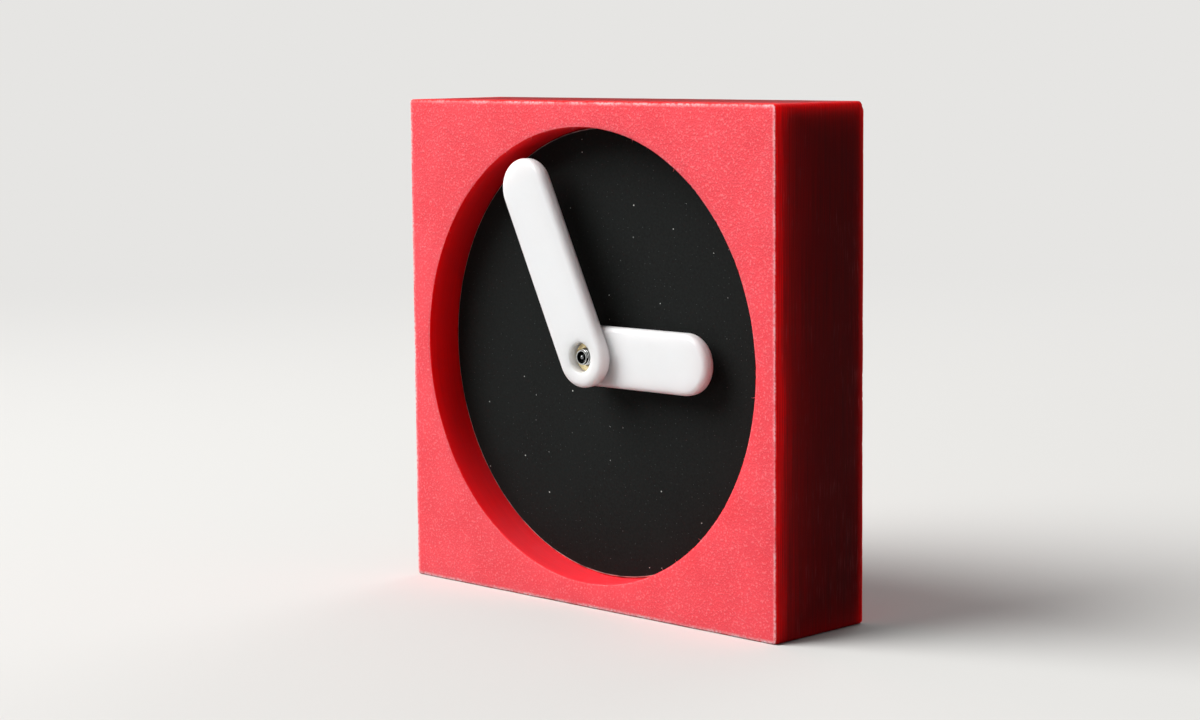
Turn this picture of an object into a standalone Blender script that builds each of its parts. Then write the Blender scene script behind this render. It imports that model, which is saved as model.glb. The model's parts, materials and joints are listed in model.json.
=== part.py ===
"""A square desk clock: a red block with a round recess, two bar hands and a quartz movement in its back.

The clock stands on the floor plane with its front towards -Y. Its origin is the middle of the block's
base. Every piece hangs from one empty on the hands' axis, which lies on the block's front face and is
turned so that its +Z points at the viewer, +X to the viewer's right and +Y up. A depth is a distance
behind that face, and a place is a pair of distances to the right of the hands' axis and above it.
"""

import math

import bmesh
import bpy
from mathutils import Matrix

# Block, cut from 25.4 mm plate
BLOCK_SIDE = 0.1000
BLOCK_DEPTH = 0.0254
BLOCK_EDGE = 0.0004
RIM = 0.0050
RECESS_EDGE = 0.0003
DIAL_DEPTH = 0.0076
POCKET_MARGIN = 0.0020
POCKET_CORNER = 0.0050

# Clearances and cutter overrun
SEAT_GAP = 0.0003
END_PLAY = 0.00015
RUNNING_GAP = 0.0001
WHEEL_GAP = 0.0003
OVERRUN = 0.0010

# Dial plate
DIAL_THICKNESS = 0.0015
DIAL_CLEARANCE = 0.0002

# Hands, 12 by 3 mm bars set to about four minutes to three
HAND_WIDTH = 0.0120
HAND_THICKNESS = 0.0030
HAND_EDGE = 0.0010
HAND_PROUD = 0.0010
MINUTE_TIP_GAP = 0.0028
HOUR_HAND_LENGTH = 0.0303
MINUTE_HAND_TURN = math.radians(25.8)
HOUR_HAND_TURN = math.radians(-89.7)
HAND_GAP = 0.0003

# Bushes in the hands
COUNTERBORE_RADIUS = 0.0030
COUNTERBORE_DEPTH = 0.0020
MINUTE_BUSH_FLANGE = 0.0004
MINUTE_BUSH_BARREL = 0.0022
MINUTE_BUSH_BORE = 0.00175
HOUR_BUSH_BARREL = 0.0033
HOUR_BUSH_FLANGE_RADIUS = 0.0042
HOUR_BUSH_FLANGE = 0.0005

# Concentric shafts
SECONDS_ARBOR_RADIUS = 0.00045
MINUTE_BORE_RADIUS = 0.00075
MINUTE_TUBE_RADIUS = 0.00145
MINUTE_TIP_BORE = 0.00110
MINUTE_TIP_BORE_DEPTH = 0.0012
MINUTE_TIP_RISE = 0.0014
SECONDS_TIP_DROP = 0.0003
HOUR_TUBE_RADIUS = 0.0025
BUSHING_RADIUS = 0.0035
BUSHING_FLANGE_RADIUS = 0.0050
BUSHING_FLANGE = 0.0006
THREAD_GAP = 0.00015
NUT_ACROSS_FLATS = 0.0104

# Tooth counts
HOUR_TEETH = 40
MOTION_PINION_TEETH = 10
MOTION_TEETH = 36
MINUTE_PINION_TEETH = 12
SETTING_PINION_TEETH = 12
CENTRE_TEETH = 64
THIRD_PINION_TEETH = 8
THIRD_TEETH = 60
SECONDS_PINION_TEETH = 8
SECONDS_TEETH = 40
FIFTH_PINION_TEETH = 8
FIFTH_TEETH = 48
ROTOR_PINION_TEETH = 8

# Tooth modules: the third wheel's and the motion wheel's second meshes take theirs from the distance
HOUR_MODULE = 0.00030
THIRD_MODULE = 0.00030
SECONDS_MODULE = 0.00030
ROTOR_MODULE = 0.00025

# Tooth form, as shares of the module and of the tooth spacing
WHEEL_TIP_SHARE = 0.8
WHEEL_ROOT_SHARE = 1.2
WHEEL_WIDTH_SHARE = 0.42
WHEEL_LEAN_SHARE = 0.4
PINION_TIP_SHARE = 0.8
PINION_ROOT_SHARE = 1.1
PINION_WIDTH_SHARE = 0.36
PINION_LEAN_SHARE = 0.2

# Directions in which the arbors lie from one another
THIRD_DIRECTION = math.radians(120)
FIFTH_DIRECTION = math.radians(45)
ROTOR_DIRECTION = math.radians(10)
MOTION_DIRECTION = math.radians(215)
SETTING_DIRECTION = math.radians(170)

# Wheels and their arbors
WHEEL_THICKNESS = 0.0008
ARBOR_RADIUS = 0.0006
PIVOT_RADIUS = 0.0004
MOTION_PIN_RADIUS = 0.0006
MINUTE_FLANGE_RADIUS = 0.0030
MINUTE_FLANGE = 0.0005
CLUTCH_RADIUS = 0.0024
CLUTCH_RIPPLE = 0.0005
CLUTCH_ARMS = 3
CLUTCH_THICKNESS = 0.0003
GEAR_CLEARANCE = 0.0008

# Movement housing
FLOOR = 0.0010
WALL = 0.0012
HOUSING_CORNER = 0.0030
COVER_SKIRT = 0.0026
PARTITION = 0.0010
PARTITION_NOTCH = 0.0012
TOP_CLEARANCE = 0.0015
BATTERY_INSET = 0.0002
BAY_END_LIP = 0.0008

# Plates, pillars and posts
PLATE_THICKNESS = 0.0008
PILLAR_RADIUS = 0.0013
PILLAR_BASE_RADIUS = 0.0018
PILLAR_SPACE = 0.0006
PLATE_MARGIN = 0.0022
POST_RADIUS = 0.0012
BOARD_POST_RADIUS = 0.0010
SLEEVE_WALL = 0.0008
FIRST_PILLAR_DIRECTION = math.radians(160)
SECOND_PILLAR_DIRECTION = math.radians(60)

# Screws
SCREW_RADIUS = 0.0005
SCREW_HEAD_RADIUS = 0.0014
SCREW_HEAD = 0.0007
SCREW_LENGTH = 0.0030
SCREW_SLOT = 0.0004
SCREW_SLOT_DEPTH = 0.0003

# Stepping motor
MAGNET_RADIUS = 0.0030
MAGNET_LENGTH = 0.0020
STATOR_THICKNESS = 0.0008
STATOR_BORE = 0.0034
STATOR_RING = 0.0012
STATOR_BAR = 0.0040
STATOR_LEG = 0.0036
CORE_THICKNESS = 0.0008
CORE_WIDTH = 0.0024
CORE_LENGTH = 0.0316
CORE_RISE = 0.0032
BOBBIN_BORE = 0.0015
BOBBIN_TUBE = 0.0020
BOBBIN_FLANGE_RADIUS = 0.0042
BOBBIN_FLANGE = 0.0010
WINDING_RADIUS = 0.0038
WINDING_BELLY = 0.0002

# Circuit board
BOARD_THICKNESS = 0.0010
BOARD_WIDTH = 0.0063
BOARD_SIDE_GAP = 0.0005
CHIP_COVER_RADIUS = 0.0025
CHIP_COVER_RISE = 0.0010
CRYSTAL_RADIUS = 0.0010
CRYSTAL_LENGTH = 0.0060
CRYSTAL_EDGE = 0.0002

# Battery cell, size AA, and its contacts
BATTERY_RADIUS = 0.0071
BATTERY_BODY_LENGTH = 0.0492
BATTERY_NUB_RADIUS = 0.00275
BATTERY_NUB_LENGTH = 0.0013
BATTERY_EDGE = 0.0006
STRIP_THICKNESS = 0.0003
STRIP_WIDTH = 0.0040
LEAF_RISE = 0.0016
LEAF_SPAN = 0.0080

# Setting knob
KNOB_RADIUS = 0.0048
KNOB_RIPPLE = 0.00012
KNOB_FLUTES = 24
KNOB_THICKNESS = 0.0024
KNOB_SLOT = 0.0010
KNOB_SLOT_DEPTH = 0.0006
KNOB_INSET = 0.00015
SETTING_SHAFT_RADIUS = 0.0010
SETTING_PIVOT_RADIUS = 0.0007
WELL_GAP = 0.0006
WELL_WALL = 0.0008
WELL_FLOOR = 0.0008

# How finely curves are drawn
RECESS_SIDES = 72
ROUND_SIDES = 18
POST_SIDES = 12
PIVOT_SIDES = 12
CELL_SIDES = 32
HAND_END_STEPS = 12
CORNER_STEPS = 4
RIPPLE_STEPS = 2
CLUTCH_STEPS = 12
HAND_EDGE_STEPS = 2
MERGE_DISTANCE = 0.000001
SHARP_ANGLE = math.radians(35)

# Recess, and the longer hand that sweeps it
recess_radius = BLOCK_SIDE / 2 - RIM
minute_hand_length = recess_radius - MINUTE_TIP_GAP

# Hands, from the viewer's side: depths below are negative where a piece stands proud of the block
minute_hand_front = -HAND_PROUD
minute_hand_back = minute_hand_front + HAND_THICKNESS
hour_hand_front = minute_hand_back + HAND_GAP
hour_hand_back = hour_hand_front + HAND_THICKNESS
minute_bush_front = minute_hand_front + COUNTERBORE_DEPTH
minute_tip = minute_bush_front - MINUTE_TIP_RISE
seconds_tip = minute_tip + SECONDS_TIP_DROP
hour_tube_tip = hour_hand_front + SEAT_GAP
nut_front = hour_hand_back + SEAT_GAP
nut_back = DIAL_DEPTH - SEAT_GAP

# Movement, front to back
dial_back = DIAL_DEPTH + DIAL_THICKNESS
movement_front = dial_back + SEAT_GAP
floor_back = movement_front + FLOOR
flange_front = floor_back + END_PLAY
flange_back = flange_front + BUSHING_FLANGE
hour_wheel_front = flange_back + END_PLAY
hour_wheel_back = hour_wheel_front + WHEEL_THICKNESS
motion_wheel_front = hour_wheel_back + WHEEL_GAP
motion_wheel_back = motion_wheel_front + WHEEL_THICKNESS
centre_wheel_front = motion_wheel_back + WHEEL_GAP
centre_wheel_back = centre_wheel_front + WHEEL_THICKNESS
clutch_front = centre_wheel_back + END_PLAY
clutch_back = clutch_front + CLUTCH_THICKNESS
minute_flange_front = clutch_back + END_PLAY
minute_flange_back = minute_flange_front + MINUTE_FLANGE
middle_plate_front = minute_flange_back + SEAT_GAP
middle_plate_back = middle_plate_front + PLATE_THICKNESS
third_wheel_front = middle_plate_back + WHEEL_GAP
third_wheel_back = third_wheel_front + WHEEL_THICKNESS
seconds_wheel_front = third_wheel_back + WHEEL_GAP
seconds_wheel_back = seconds_wheel_front + WHEEL_THICKNESS
magnet_front = middle_plate_back + END_PLAY
magnet_back = magnet_front + MAGNET_LENGTH
fifth_wheel_front = max(seconds_wheel_back, magnet_back) + WHEEL_GAP
fifth_wheel_back = fifth_wheel_front + WHEEL_THICKNESS
bridge_front = fifth_wheel_back + WHEEL_GAP
bridge_back = bridge_front + PLATE_THICKNESS
bridge_screw_front = bridge_back + END_PLAY
bridge_screw_back = bridge_screw_front + SCREW_HEAD
stator_front = middle_plate_back + SEAT_GAP
stator_back = stator_front + STATOR_THICKNESS
core_front = stator_back + END_PLAY
core_back = core_front + CORE_THICKNESS
core_screw_front = core_back + END_PLAY
coil_depth = (core_front + core_back) / 2
board_front = fifth_wheel_front
board_back = board_front + BOARD_THICKNESS
battery_depth = floor_back + SEAT_GAP + BATTERY_RADIUS
rear_wall_front = max(
    battery_depth + BATTERY_RADIUS + BATTERY_INSET - WALL,
    coil_depth + BOBBIN_FLANGE_RADIUS + SEAT_GAP,
    bridge_screw_back + SEAT_GAP,
)
movement_back = rear_wall_front + WALL
seam_back = rear_wall_front - COVER_SKIRT
seam_front = seam_back - SEAT_GAP
knob_back = movement_back - KNOB_INSET
knob_front = knob_back - KNOB_THICKNESS
well_floor_back = knob_front - SEAT_GAP
well_floor_front = well_floor_back - WELL_FLOOR


def mesh_distance(module, teeth, pinion_teeth):
    return module * (teeth + pinion_teeth) / 2


def away(place, distance, direction):
    """The place at a distance and in a direction from another place."""
    return (
        place[0] + distance * math.cos(direction),
        place[1] + distance * math.sin(direction),
    )


def wheel_tip(module, teeth):
    return module * (teeth / 2 + WHEEL_TIP_SHARE)


# Arbors, as places round the hands' axis
centre = (0.0, 0.0)
third_distance = mesh_distance(THIRD_MODULE, THIRD_TEETH, SECONDS_PINION_TEETH)
centre_module = third_distance * 2 / (CENTRE_TEETH + THIRD_PINION_TEETH)
third = away(centre, third_distance, THIRD_DIRECTION)
fifth = away(centre, mesh_distance(SECONDS_MODULE, SECONDS_TEETH, FIFTH_PINION_TEETH), FIFTH_DIRECTION)
rotor = away(fifth, mesh_distance(ROTOR_MODULE, FIFTH_TEETH, ROTOR_PINION_TEETH), ROTOR_DIRECTION)
motion_distance = mesh_distance(HOUR_MODULE, HOUR_TEETH, MOTION_PINION_TEETH)
motion_module = motion_distance * 2 / (MOTION_TEETH + MINUTE_PINION_TEETH)
motion = away(centre, motion_distance, MOTION_DIRECTION)
setting_distance = mesh_distance(motion_module, MOTION_TEETH, SETTING_PINION_TEETH)
setting = away(motion, setting_distance, SETTING_DIRECTION)

# Coil and stator
stator_ring_radius = STATOR_BORE + STATOR_RING
coil_right = rotor[0] + stator_ring_radius + SEAT_GAP + BOBBIN_FLANGE_RADIUS
core_top = rotor[1] + CORE_RISE + CORE_LENGTH / 2
core_bottom = core_top - CORE_LENGTH
bobbin_bottom = core_bottom + STATOR_LEG + SEAT_GAP
bobbin_top = core_top - STATOR_LEG - SEAT_GAP
lower_core_screw = (coil_right, core_bottom + STATOR_LEG / 2)
upper_core_screw = (coil_right, core_top - STATOR_LEG / 2)

# Pillars that carry the plates
third_tip = wheel_tip(THIRD_MODULE, THIRD_TEETH)
pillar_reach = third_tip + PILLAR_SPACE + PILLAR_RADIUS
pillars = (
    away(third, pillar_reach, FIRST_PILLAR_DIRECTION),
    away(third, pillar_reach, SECOND_PILLAR_DIRECTION),
    (rotor[0], core_bottom - PILLAR_SPACE - PILLAR_BASE_RADIUS),
)

# Housing, round the wheels, the coil and the battery bay
battery_length = BATTERY_BODY_LENGTH + BATTERY_NUB_LENGTH
bay_ends = SEAT_GAP + STRIP_THICKNESS + END_PLAY
inner_side = max(
    (battery_length + 2 * bay_ends + LEAF_RISE) / 2,
    coil_right + BOBBIN_FLANGE_RADIUS + bay_ends + SEAT_GAP,
)
inner_top = core_top + TOP_CLEARANCE
partition_top = -GEAR_CLEARANCE - max(
    wheel_tip(centre_module, CENTRE_TEETH),
    wheel_tip(motion_module, MOTION_TEETH) - motion[1],
    PILLAR_BASE_RADIUS - pillars[2][1],
    KNOB_RADIUS + WELL_GAP + WELL_WALL - setting[1],
)
partition_bottom = partition_top - PARTITION
battery_height = partition_bottom - SEAT_GAP - BATTERY_RADIUS
inner_bottom = battery_height - BATTERY_RADIUS - SEAT_GAP
housing_low = (-inner_side - WALL, inner_bottom - WALL)
housing_high = (inner_side + WALL, inner_top + WALL)
inner_low = (-inner_side, inner_bottom)
inner_high = (inner_side, inner_top)
battery_right = inner_side - bay_ends
battery_left = battery_right - battery_length
strip_side = inner_side - END_PLAY - STRIP_THICKNESS / 2
strip_top = inner_top - END_PLAY - STRIP_THICKNESS / 2
board_left = -inner_side + END_PLAY + STRIP_THICKNESS + BOARD_SIDE_GAP
board_right = pillars[1][0] - PILLAR_BASE_RADIUS - BOARD_SIDE_GAP
board_top = inner_top - END_PLAY - STRIP_THICKNESS - BOARD_SIDE_GAP
board_bottom = board_top - BOARD_WIDTH


def clear_scene():
    for obj in list(bpy.data.objects):
        bpy.data.objects.remove(obj, do_unlink=True)


def new_collection(name):
    collection = bpy.data.collections.new(name)
    bpy.context.scene.collection.children.link(collection)
    return collection


clear_scene()
PARTS = new_collection("block_clock")
CUTTERS = new_collection("cutters")


def linear(channel):
    return channel / 12.92 if channel <= 0.04045 else ((channel + 0.055) / 1.055) ** 2.4


def new_material(name, colour, roughness, metallic=0.0):
    """A Principled material whose colour is an sRGB hex value."""
    material = bpy.data.materials.new(name)
    material.use_nodes = True
    shader = material.node_tree.nodes["Principled BSDF"]
    rgb = [linear(int(colour[i : i + 2], 16) / 255) for i in (0, 2, 4)]
    shader.inputs["Base Color"].default_value = (*rgb, 1.0)
    shader.inputs["Roughness"].default_value = roughness
    shader.inputs["Metallic"].default_value = metallic
    material.diffuse_color = (*rgb, 1.0)
    return material


RED_PLASTIC = new_material("red_polyethylene", "D8303C", 0.45)
BLACK_PLATE = new_material("matte_black_plate", "1C1E1C", 0.75)
WHITE_ACRYLIC = new_material("white_acrylic", "F2F3F1", 0.35)
BRASS = new_material("brass", "C9A55C", 0.3, 1.0)
STEEL = new_material("plated_steel", "B9BCBE", 0.25, 1.0)
GREY_HOUSING = new_material("black_housing_plastic", "202224", 0.5)
WHITE_NYLON = new_material("white_nylon", "E6E6DE", 0.5)
IRON = new_material("soft_iron", "8A8C8E", 0.4, 1.0)
MAGNET = new_material("sintered_magnet", "4A4A4C", 0.5, 0.6)
COPPER = new_material("enamelled_copper", "B4622D", 0.35, 1.0)
BOARD = new_material("circuit_board", "3C6B3A", 0.5)
EPOXY = new_material("black_epoxy", "101010", 0.3)
BATTERY = new_material("battery_jacket", "3A3E44", 0.35, 0.4)


def new_axis():
    """The empty on the hands' axis: +Z points at the viewer, +Y up."""
    axis = bpy.data.objects.new("hands_axis", None)
    axis.location = (0.0, -BLOCK_DEPTH / 2, BLOCK_SIDE / 2)
    axis.rotation_euler = (math.pi / 2, 0.0, 0.0)
    PARTS.objects.link(axis)
    return axis


AXIS = new_axis()


def add_mesh(name, mesh, place=(0.0, 0.0)):
    """An object on the clock's axis, shifted to a place round it."""
    mesh.name = name
    obj = bpy.data.objects.new(name, mesh)
    obj.parent = AXIS
    obj.location = (place[0], place[1], 0.0)
    PARTS.objects.link(obj)
    return obj


def drum(name, radius, front, back, place=(0.0, 0.0), sides=ROUND_SIDES, tip_radius=None):
    """A cylinder between two depths, or a cone where its back has another radius."""
    bm = bmesh.new()
    bmesh.ops.create_cone(
        bm,
        cap_ends=True,
        segments=sides,
        radius1=radius if tip_radius is None else tip_radius,
        radius2=radius,
        depth=back - front,
        matrix=Matrix.Translation((place[0], place[1], -(front + back) / 2)),
    )
    mesh = bpy.data.meshes.new(name)
    bm.to_mesh(mesh)
    bm.free()
    mesh.shade_smooth()
    mesh.set_sharp_from_angle(angle=SHARP_ANGLE)
    return add_mesh(name, mesh)


def brick(name, low, high, front, back):
    """A box between two opposite corners, seen from the front, and two depths."""
    size = (high[0] - low[0], high[1] - low[1], back - front)
    middle = ((low[0] + high[0]) / 2, (low[1] + high[1]) / 2, -(front + back) / 2)
    bm = bmesh.new()
    bmesh.ops.create_cube(bm, size=1.0, matrix=Matrix.Translation(middle) @ Matrix.Diagonal((*size, 1.0)))
    mesh = bpy.data.meshes.new(name)
    bm.to_mesh(mesh)
    bm.free()
    return add_mesh(name, mesh)


def slab(name, outlines, front, back):
    """A flat plate between two depths: the first outline is its edge and the others are holes."""
    curve = bpy.data.curves.new(name, "CURVE")
    curve.dimensions = "2D"
    curve.fill_mode = "BOTH"
    curve.extrude = (back - front) / 2
    for outline in outlines:
        spline = curve.splines.new("POLY")
        spline.points.add(len(outline) - 1)
        for point, (x, y) in zip(spline.points, outline):
            point.co = (x, y, 0.0, 1.0)
        spline.use_cyclic_u = True
    flat = bpy.data.objects.new(name, curve)
    bpy.context.scene.collection.objects.link(flat)
    bpy.context.view_layer.update()
    graph = bpy.context.evaluated_depsgraph_get()
    mesh = bpy.data.meshes.new_from_object(flat.evaluated_get(graph))
    bpy.data.objects.remove(flat)
    bpy.data.curves.remove(curve)
    bm = bmesh.new()
    bm.from_mesh(mesh)
    bmesh.ops.remove_doubles(bm, verts=bm.verts, dist=MERGE_DISTANCE)
    bmesh.ops.translate(bm, verts=bm.verts, vec=(0.0, 0.0, -(front + back) / 2))
    bmesh.ops.recalc_face_normals(bm, faces=bm.faces)
    bm.to_mesh(mesh)
    bm.free()
    return add_mesh(name, mesh)


def turned(name, profile, closed=False, sides=ROUND_SIDES):
    """A turned piece: its profile lists (radius, depth) down the outer side, front to back."""
    mesh = bpy.data.meshes.new(name)
    corners = [(radius, 0.0, -depth) for radius, depth in profile]
    edges = [(i, i + 1) for i in range(len(corners) - 1)]
    if closed:
        edges.append((len(corners) - 1, 0))
    mesh.from_pydata(corners, edges, [])
    obj = add_mesh(name, mesh)
    screw = obj.modifiers.new("turn", "SCREW")
    screw.axis = "Z"
    screw.steps = sides
    screw.render_steps = sides
    screw.use_merge_vertices = True
    screw.merge_threshold = MERGE_DISTANCE
    screw.use_smooth_shade = True
    return obj


def tube(name, outer, bore, front, back):
    return turned(name, [(outer, front), (outer, back), (bore, back), (bore, front)], closed=True)


def attach(piece, tool, operation):
    """Gives a piece a Boolean with a tool that is built in the piece's own coordinates."""
    PARTS.objects.unlink(tool)
    CUTTERS.objects.link(tool)
    tool.name = f"{piece.name}_{tool.name}"
    tool.parent = piece
    tool.hide_render = True
    tool.display_type = "WIRE"
    modifier = piece.modifiers.new(tool.name, "BOOLEAN")
    modifier.operation = operation
    modifier.solver = "EXACT"
    modifier.object = tool


def carve(piece, *tools):
    for tool in tools:
        attach(piece, tool, "DIFFERENCE")


def fuse(piece, *tools):
    for tool in tools:
        attach(piece, tool, "UNION")


def finish(piece, material, place=(0.0, 0.0), turn=0.0):
    piece.data.materials.append(material)
    piece.location = (place[0], place[1], 0.0)
    piece.rotation_euler = (0.0, 0.0, turn)
    return piece


def arc(middle, radius, start, end, steps):
    """Points along an arc, both ends included."""
    return [away(middle, radius, start + (end - start) * i / steps) for i in range(steps + 1)]


def circle(middle, radius, sides=ROUND_SIDES):
    return arc(middle, radius, 0.0, 2 * math.pi, sides)[:-1]


def rounded_rectangle(low, high, corner):
    """An outline with rounded corners, anticlockwise from the lower right."""
    quarter = math.pi / 2
    return (
        arc((high[0] - corner, low[1] + corner), corner, -quarter, 0.0, CORNER_STEPS)
        + arc((high[0] - corner, high[1] - corner), corner, 0.0, quarter, CORNER_STEPS)
        + arc((low[0] + corner, high[1] - corner), corner, quarter, 2 * quarter, CORNER_STEPS)
        + arc((low[0] + corner, low[1] + corner), corner, 2 * quarter, 3 * quarter, CORNER_STEPS)
    )


def rippled_circle(radius, ripple, waves, steps):
    """A round outline whose radius swells and shrinks a whole number of times."""
    count = waves * steps
    outline = []
    for i in range(count):
        angle = 2 * math.pi * i / count
        outline.append(away(centre, radius + ripple * math.cos(waves * angle), angle))
    return outline


def turning(first, second, third_point):
    """Positive where three points turn to the left."""
    across = (second[0] - first[0]) * (third_point[1] - first[1])
    return across - (second[1] - first[1]) * (third_point[0] - first[0])


def band_round(circles):
    """The outline of a band stretched round circles, each given as (place, radius)."""
    points = sorted(point for middle, radius in circles for point in circle(middle, radius, ROUND_SIDES))
    chains = []
    for ordered in (points, points[::-1]):
        chain = []
        for point in ordered:
            while len(chain) > 1 and turning(chain[-2], chain[-1], point) <= 0:
                chain.pop()
            chain.append(point)
        chains.append(chain[:-1])
    return chains[0] + chains[1]


def gear_outline(module, teeth, phase, tip_share, root_share, width_share, lean_share):
    """A gear's outline: straight-flanked teeth, the first of them at the phase angle."""
    pitch_radius = module * teeth / 2
    tip_radius = pitch_radius + tip_share * module
    root_radius = pitch_radius - root_share * module
    spacing = 2 * math.pi / teeth
    half_width = width_share * spacing / 2
    tip_half = half_width - lean_share * (tip_radius - pitch_radius) / pitch_radius
    root_half = half_width + lean_share * (pitch_radius - root_radius) / pitch_radius
    corners = (
        (root_radius, -root_half),
        (tip_radius, -tip_half),
        (tip_radius, tip_half),
        (root_radius, root_half),
    )
    outline = []
    for tooth in range(teeth):
        middle = phase + tooth * spacing
        outline += [away(centre, radius, middle + offset) for radius, offset in corners]
    return outline


def wheel_outline(module, teeth, phase):
    return gear_outline(
        module, teeth, phase, WHEEL_TIP_SHARE, WHEEL_ROOT_SHARE, WHEEL_WIDTH_SHARE, WHEEL_LEAN_SHARE
    )


def pinion_outline(module, teeth, phase):
    return gear_outline(
        module, teeth, phase, PINION_TIP_SHARE, PINION_ROOT_SHARE, PINION_WIDTH_SHARE, PINION_LEAN_SHARE
    )


def meshing_phase(phase, teeth, other_teeth, direction):
    """The other gear's phase, where it lies in a direction and its gaps face this gear's teeth."""
    return direction + math.pi - (phase - direction) * teeth / other_teeth - math.pi / other_teeth


def bearing(radius):
    return radius + RUNNING_GAP


def case_block():
    block = brick(
        "case_block",
        (-BLOCK_SIDE / 2, -BLOCK_SIDE / 2),
        (BLOCK_SIDE / 2, BLOCK_SIDE / 2),
        0.0,
        BLOCK_DEPTH,
    )
    bevel = block.modifiers.new("broken_edges", "BEVEL")
    bevel.width = BLOCK_EDGE
    bevel.segments = 1
    mouth = recess_radius + RECESS_EDGE + OVERRUN
    recess = turned(
        "recess",
        [
            (0.0, -OVERRUN),
            (mouth, -OVERRUN),
            (recess_radius, RECESS_EDGE),
            (recess_radius, movement_front),
            (0.0, movement_front),
        ],
        sides=RECESS_SIDES,
    )
    low = (housing_low[0] - POCKET_MARGIN, housing_low[1] - POCKET_MARGIN)
    high = (housing_high[0] + POCKET_MARGIN, housing_high[1] + POCKET_MARGIN)
    pocket = slab(
        "pocket",
        [rounded_rectangle(low, high, POCKET_CORNER)],
        movement_front - OVERRUN,
        BLOCK_DEPTH + OVERRUN,
    )
    carve(block, recess, pocket)
    return finish(block, RED_PLASTIC)


def dial_plate():
    radius = recess_radius - DIAL_CLEARANCE
    plate = drum("dial_plate", radius, DIAL_DEPTH, dial_back, sides=RECESS_SIDES)
    carve(plate, drum("bushing_hole", BUSHING_RADIUS + SEAT_GAP, DIAL_DEPTH - OVERRUN, dial_back + OVERRUN))
    return finish(plate, BLACK_PLATE)


def bar(name, length, front, back):
    """A bar with round ends and soft edges, from its hub on the axis up to its tip."""
    end = HAND_WIDTH / 2
    tip = (0.0, length - end)
    tip_end = arc(tip, end, 0.0, math.pi, HAND_END_STEPS)
    hub_end = arc(centre, end, math.pi, 2 * math.pi, HAND_END_STEPS)
    hand = slab(name, [tip_end + hub_end], front, back)
    bevel = hand.modifiers.new("soft_edges", "BEVEL")
    bevel.width = HAND_EDGE
    bevel.segments = HAND_EDGE_STEPS
    bevel.angle_limit = SHARP_ANGLE
    return hand


def minute_hand():
    hand = bar("minute_hand", minute_hand_length, minute_hand_front, minute_hand_back)
    floor = minute_bush_front + MINUTE_BUSH_FLANGE + END_PLAY
    carve(
        hand,
        drum("counterbore", COUNTERBORE_RADIUS, minute_hand_front - OVERRUN, floor),
        drum("hole", MINUTE_BUSH_BARREL + END_PLAY, floor - END_PLAY, minute_hand_back + OVERRUN),
    )
    return finish(hand, WHITE_ACRYLIC, turn=MINUTE_HAND_TURN)


def minute_hand_bush():
    flange = COUNTERBORE_RADIUS - END_PLAY
    flange_end = minute_bush_front + MINUTE_BUSH_FLANGE
    bush = turned(
        "minute_hand_bush",
        [
            (flange, minute_bush_front),
            (flange, flange_end),
            (MINUTE_BUSH_BARREL, flange_end),
            (MINUTE_BUSH_BARREL, minute_hand_back),
            (MINUTE_BUSH_BORE, minute_hand_back),
            (MINUTE_BUSH_BORE, minute_bush_front),
        ],
        closed=True,
    )
    return finish(bush, BRASS)


def hour_hand():
    hand = bar("hour_hand", HOUR_HAND_LENGTH, hour_hand_front, hour_hand_back)
    seat = hour_hand_back - HOUR_BUSH_FLANGE - END_PLAY
    carve(
        hand,
        drum("hole", HOUR_BUSH_BARREL + END_PLAY, hour_hand_front - OVERRUN, hour_hand_back + OVERRUN),
        drum("flange_seat", HOUR_BUSH_FLANGE_RADIUS + END_PLAY, seat, hour_hand_back + OVERRUN),
    )
    return finish(hand, WHITE_ACRYLIC, turn=HOUR_HAND_TURN)


def hour_hand_bush():
    bore = bearing(HOUR_TUBE_RADIUS)
    flange_start = hour_hand_back - HOUR_BUSH_FLANGE
    bush = turned(
        "hour_hand_bush",
        [
            (HOUR_BUSH_BARREL, hour_hand_front + END_PLAY),
            (HOUR_BUSH_BARREL, flange_start),
            (HOUR_BUSH_FLANGE_RADIUS, flange_start),
            (HOUR_BUSH_FLANGE_RADIUS, hour_hand_back),
            (bore, hour_hand_back),
            (bore, hour_hand_front + END_PLAY),
        ],
        closed=True,
    )
    return finish(bush, BRASS)


def dial_nut():
    corner = NUT_ACROSS_FLATS / 2 / math.cos(math.pi / 6)
    nut = drum("dial_nut", corner, nut_front, nut_back, sides=6)
    carve(nut, drum("bore", BUSHING_RADIUS + THREAD_GAP, nut_front - OVERRUN, nut_back + OVERRUN))
    return finish(nut, BRASS)


def threaded_bushing():
    bore = bearing(HOUR_TUBE_RADIUS)
    bushing = turned(
        "threaded_bushing",
        [
            (BUSHING_RADIUS, nut_front),
            (BUSHING_RADIUS, flange_front),
            (BUSHING_FLANGE_RADIUS, flange_front),
            (BUSHING_FLANGE_RADIUS, flange_back),
            (bore, flange_back),
            (bore, nut_front),
        ],
        closed=True,
    )
    return finish(bushing, BRASS)


def stepped_pillar(place):
    """A pillar with a shoulder that the middle plate rests on and a neck up to the bridge."""
    shoulder = middle_plate_front - END_PLAY
    top = bridge_front - END_PLAY
    pillar = turned(
        "pillar",
        [
            (0.0, top),
            (PILLAR_RADIUS, top),
            (PILLAR_RADIUS, shoulder),
            (PILLAR_BASE_RADIUS, shoulder),
            (PILLAR_BASE_RADIUS, floor_back - FLOOR / 2),
            (0.0, floor_back - FLOOR / 2),
        ][::-1],
        sides=POST_SIDES,
    )
    pillar.location = (place[0], place[1], 0.0)
    return pillar


def post(name, radius, top, place):
    """A round post that stands on the front case's floor."""
    return drum(name, radius, floor_back - FLOOR / 2, top, place, POST_SIDES)


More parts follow.
